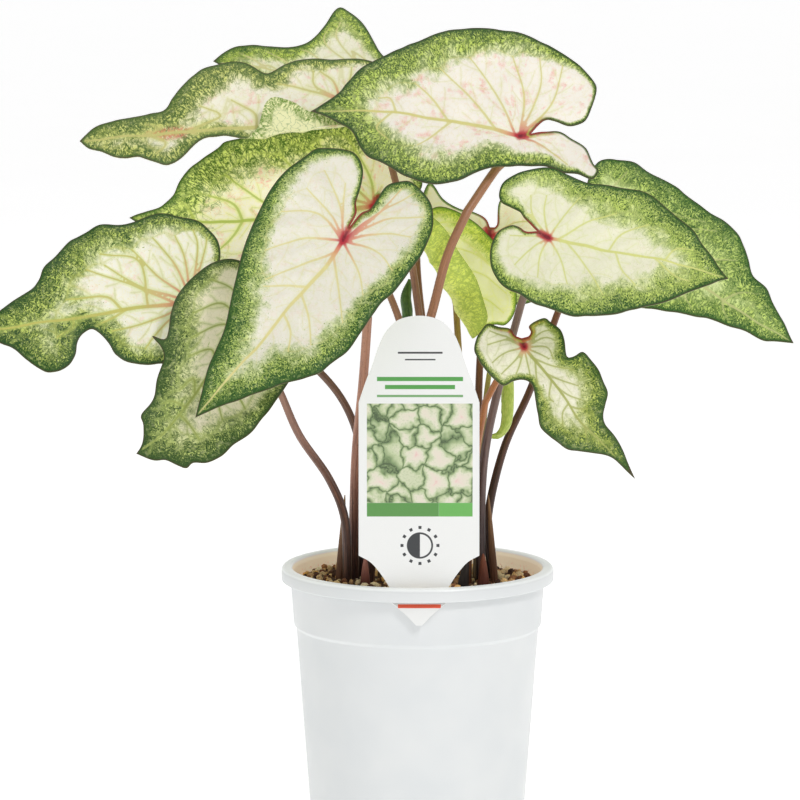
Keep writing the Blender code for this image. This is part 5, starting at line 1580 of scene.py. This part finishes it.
def soil_finish(name, loose):
    """Bark-based mix: dark ground, and crumbs of bark, clay and grit in their own colours."""
    g = Graph(name, 0.9)
    where = g.add("ShaderNodeTexCoord").outputs["Object"]
    fine = g.noise(where, 900.0, 4.0, 0.65)
    if loose:
        g.colour = g.ramp(g.fact("tint"), GRAIN_COLOURS)
        g.lay((60, 40, 30), g.rise(fine, 0.5, 0.95), 0.4)
    else:
        g.colour = g.paint(*GROUND_COLOURS, g.noise(where, 450.0, 4.0))
    return g.finish(g.plus(0.75, g.times(fine, 0.2)), fine, 0.3, 0.7)


# The pot's colours, a painted warm reflection inside, and a painted glow on the inner wall and the lip's
# top.
POT_WHITES = ((221, 223, 223), (215, 218, 219))
# Painted warm reflection of the soil on the white inner wall above it.
INNER_WALL_REFLECTION = (238, 223, 202)
SOIL_DUST = (126, 92, 64)
# Painted glow on the inner wall above the soil and on the lip's top, which lifts the shade that falls
# there.
WALL_GLOW = 0.38
INNER_LIGHT = (229, 209, 178)
LIP_LIGHT = (214, 216, 214)


def pot_finish():
    """White moulded plastic with a faint satin unevenness, a dusting of soil low inside the lip, and
    painted reflection and glow inside it and on the lip's top.
    """
    g = Graph("pot_finish", 0.34)
    where = g.add("ShaderNodeTexCoord").outputs["Object"]
    x, y, z = g.parts(where)
    radius = g.math("SQRT", g.plus(g.times(x, x), g.times(y, y)))

    def above(low, high):
        """0 up to one place and 1 from another, both as mm below the rim."""
        return g.rise(z, (POT_HEIGHT - low) * MM, (POT_HEIGHT - high) * MM)

    within_neck = g.rise(radius, (NECK_RADIUS - 0.5) * MM, (NECK_RADIUS - 0.9) * MM)
    inner = g.times(within_neck, above(SOIL_BELOW_RIM + 3.0, SOIL_BELOW_RIM + 2.0), above(0.5, 1.3))
    cloud = g.noise(where, 40.0, 2.0)
    g.colour = g.paint(*POT_WHITES, cloud)
    # Painted warm reflection of the soil on the inner wall above it
    g.lay(INNER_WALL_REFLECTION, inner, 0.9)
    dust = g.rise(g.noise(where, 700.0, 3.0, 0.7), 0.62, 0.85)
    g.lay(SOIL_DUST, dust, inner, above(3.0, SOIL_BELOW_RIM), 0.8)
    # Painted glow on the inner wall above the soil and on the lip's top, which lifts the shade that falls
    # there
    shine = g.paint(g.paint((0, 0, 0), INNER_LIGHT, inner), LIP_LIGHT, above(1.6, 0.5))
    g.feed(g.shader.inputs["Emission Color"], shine)
    g.feed(g.shader.inputs["Emission Strength"], WALL_GLOW)
    pores = g.noise(where, 1600.0, 2.0)
    return g.finish(g.plus(0.3, g.times(cloud, 0.1)), pores, 0.03, 0.25)


# What is printed on the tag, in mm across from its middle and up from the ground: left, right, low, high.
PRINT_EDGE = 0.12
FINE_EDGE = 0.1
PRINT_PANEL = (-22.2, 22.8, 165.4, 207.5)
PRINT_BARS = [((-22.2, 8.4, 159.6, 165.4), (92, 148, 76)), ((8.4, 22.8, 159.6, 165.4), (108, 178, 90))]
PRINT_RULES = [
    ((-9.0, 9.3, 121.4, 122.9), (232, 92, 62)),
    ((-17.9, 18.7, 217.0, 218.8), (84, 158, 76)), ((-14.5, 15.3, 213.6, 215.4), (84, 158, 76)),
    ((-17.9, 18.7, 210.2, 211.2), (120, 168, 112)),
    ((-9.0, 10.0, 228.6, 229.4), (60, 60, 60)), ((-6.0, 7.0, 225.8, 226.4), (60, 60, 60)),
]
# The half-shade sign: its middle, its radius, the width of its line, and the ring, the number and the edge
# of its rays.
SIGN_MIDDLE = (0.4, 147.3)
SIGN_RADIUS = 5.6
SIGN_LINE = 0.8
SIGN_RING = (1.4, 2.7)
SIGN_RAYS = 12.0
RAY_EDGE = (0.45, 0.6)
SIGN_COLOUR = (58, 60, 62)
TAG_WHITES = ((238, 238, 236), (233, 234, 232))
PETAL_SCALE = 0.11
PETAL_COLOURS = [(0.0, (74, 92, 62)), (0.035, (128, 150, 104)), (0.1, (190, 202, 160)),
                 (0.22, (222, 220, 198)), (0.5, (232, 214, 204))]


def within(g, x, y, left, right, low, high):
    """1 within a printed box on the tag, with clean edges."""
    edge = PRINT_EDGE
    return g.times(g.rise(x, left - edge, left + edge), g.rise(x, right + edge, right - edge),
                   g.rise(y, low - edge, low + edge), g.rise(y, high + edge, high - edge))


def petals(g, flat):
    """Panel of rounded pale petals with green edges and pink middles."""
    bend = g.stretch(g.vector(g.noise(flat, 0.12), g.noise(flat, 0.15), 0.0), 5.0, 5.0, 0.0)
    edge = g.cells(g.moved(flat, bend), PETAL_SCALE)
    shown = g.ramp(edge, PETAL_COLOURS)
    flecks = g.times(g.rise(g.noise(flat, 1.3, 3.0), 0.5, 0.9), g.rise(edge, 0.4, 0.05), 0.5)
    shown = g.paint(shown, (150, 172, 116), flecks)
    return g.paint(shown, (224, 140, 140), g.times(g.rise(edge, 0.38, 0.5), g.noise(flat, 0.6), 0.7))


def sign(g, x, y):
    """Half-filled disc in a ring of short rays."""
    middle_x, middle_y = SIGN_MIDDLE
    from_x, from_y = g.minus(x, middle_x), g.minus(y, middle_y)
    away = g.math("SQRT", g.plus(g.times(from_x, from_x), g.times(from_y, from_y)))
    disc = g.rise(away, SIGN_RADIUS + PRINT_EDGE, SIGN_RADIUS - PRINT_EDGE)
    inner = SIGN_RADIUS - SIGN_LINE
    right_half = g.rise(from_x, -PRINT_EDGE, PRINT_EDGE)
    hollow = g.times(g.rise(away, inner + FINE_EDGE, inner - FINE_EDGE), right_half)
    turn = g.math("ARCTAN2", from_y, from_x)
    rays = g.rise(g.math("COSINE", g.times(turn, SIGN_RAYS)), *RAY_EDGE)
    start, end = (SIGN_RADIUS + radius for radius in SIGN_RING)
    ring = g.times(g.rise(away, start - FINE_EDGE, start + FINE_EDGE),
                   g.rise(away, end + FINE_EDGE, end - FINE_EDGE), rays)
    return g.larger(g.times(disc, g.minus(1.0, hollow)), ring)


def tag_finish():
    """Printed card: plain rules, a panel of rounded petals, a two-tone bar, a sign and a strip."""
    g = Graph("tag_finish", 0.36)
    where = g.fact("printed", "Vector")
    x, y, front = g.parts(where)
    flat = g.stretch(where, 1.0, 1.0, 0.0)
    tooth = g.noise(flat, 3.0, 3.0)
    g.colour = g.paint(*TAG_WHITES, tooth)
    g.lay(petals(g, flat), within(g, x, y, *PRINT_PANEL), front)
    for box, shade in PRINT_BARS + PRINT_RULES:
        g.lay(shade, within(g, x, y, *box), front)
    g.lay(SIGN_COLOUR, sign(g, x, y), front)
    return g.finish(g.plus(0.32, g.times(tooth, 0.08)), tooth, 0.02, 0.2)


# Light: the world's strength at the horizon and overhead and the heights between which it fades, the
# floor's colours, own glow and size in metres, and each lamp's place, size in metres and power.
WORLD_LIGHT = (1.0, 0.28)
WORLD_FADE = (0.03, 0.45)
FLOOR_WHITES = ((250, 250, 250), (246, 246, 246))
FLOOR_GLOW = 0.66
FLOOR_SIZE = 400.0
LIGHT_AIM = (0.0, 0.0, 0.25)
LIGHTS = [
    ("key", (0.9, -1.4, 1.6), 0.45, 12.6),
    ("fill", (-1.5, -1.3, 0.8), 1.2, 2.6),
    ("top", (-0.2, 0.2, 2.0), 1.4, 7.0),
]


def make_stage():
    """Pale floor, soft studio lights and the camera at the eye of the front view."""
    bpy.ops.mesh.primitive_plane_add(size=FLOOR_SIZE)
    floor = bpy.context.object
    floor.name = "studio_floor"
    g = Graph("floor_finish", 0.8)
    where = g.add("ShaderNodeTexCoord").outputs["Object"]
    g.colour = g.paint(*FLOOR_WHITES, g.noise(where, 2.0))
    g.feed(g.shader.inputs["Emission Color"], rgb(255, 255, 255))
    g.feed(g.shader.inputs["Emission Strength"], FLOOR_GLOW)
    floor.data.materials.append(g.finish())

    world = bpy.data.worlds.new("studio")
    bpy.context.scene.world = world
    world.use_nodes = True
    tree = world.node_tree
    background = tree.nodes["Background"]
    background.inputs["Color"].default_value = (1.0, 1.0, 1.0, 1.0)
    where = tree.nodes.new("ShaderNodeTexCoord").outputs["Generated"]
    parts = tree.nodes.new("ShaderNodeSeparateXYZ")
    tree.links.new(where, parts.inputs[0])
    change = tree.nodes.new("ShaderNodeMapRange")
    change.inputs["From Min"].default_value, change.inputs["From Max"].default_value = WORLD_FADE
    change.inputs["To Min"].default_value, change.inputs["To Max"].default_value = WORLD_LIGHT
    tree.links.new(parts.outputs["Z"], change.inputs["Value"])
    tree.links.new(change.outputs["Result"], background.inputs["Strength"])

    for name, place, size, power in LIGHTS:
        light = bpy.data.lights.new(name, "AREA")
        light.shape = "DISK"
        light.size = size
        light.energy = power
        lamp = bpy.data.objects.new(name, light)
        bpy.context.collection.objects.link(lamp)
        lamp.location = place
        lamp.rotation_euler = (Vector(LIGHT_AIM) - Vector(place)).to_track_quat("-Z", "Y").to_euler()

    camera = bpy.data.cameras.new("camera")
    camera.lens = LENS
    eye = bpy.data.objects.new("camera", camera)
    bpy.context.collection.objects.link(eye)
    eye.location = EYE * MM
    eye.rotation_euler = (math.pi / 2 - EYE_PITCH, 0.0, 0.0)
    bpy.context.scene.camera = eye
    bpy.context.scene.view_settings.view_transform = "Standard"


def main():
    """Loads the frame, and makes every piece."""
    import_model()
    make_stage()
    make_pot()
    make_soil()
    make_tag()
    for number, name in enumerate(LEAVES):
        make_blade(number, name)
    for number, name in enumerate(STALKS):
        make_stalk(number, name)
    for name in FURLED:
        make_furled(name)
    for name in SHEATHS:
        make_sheath(name)


main()
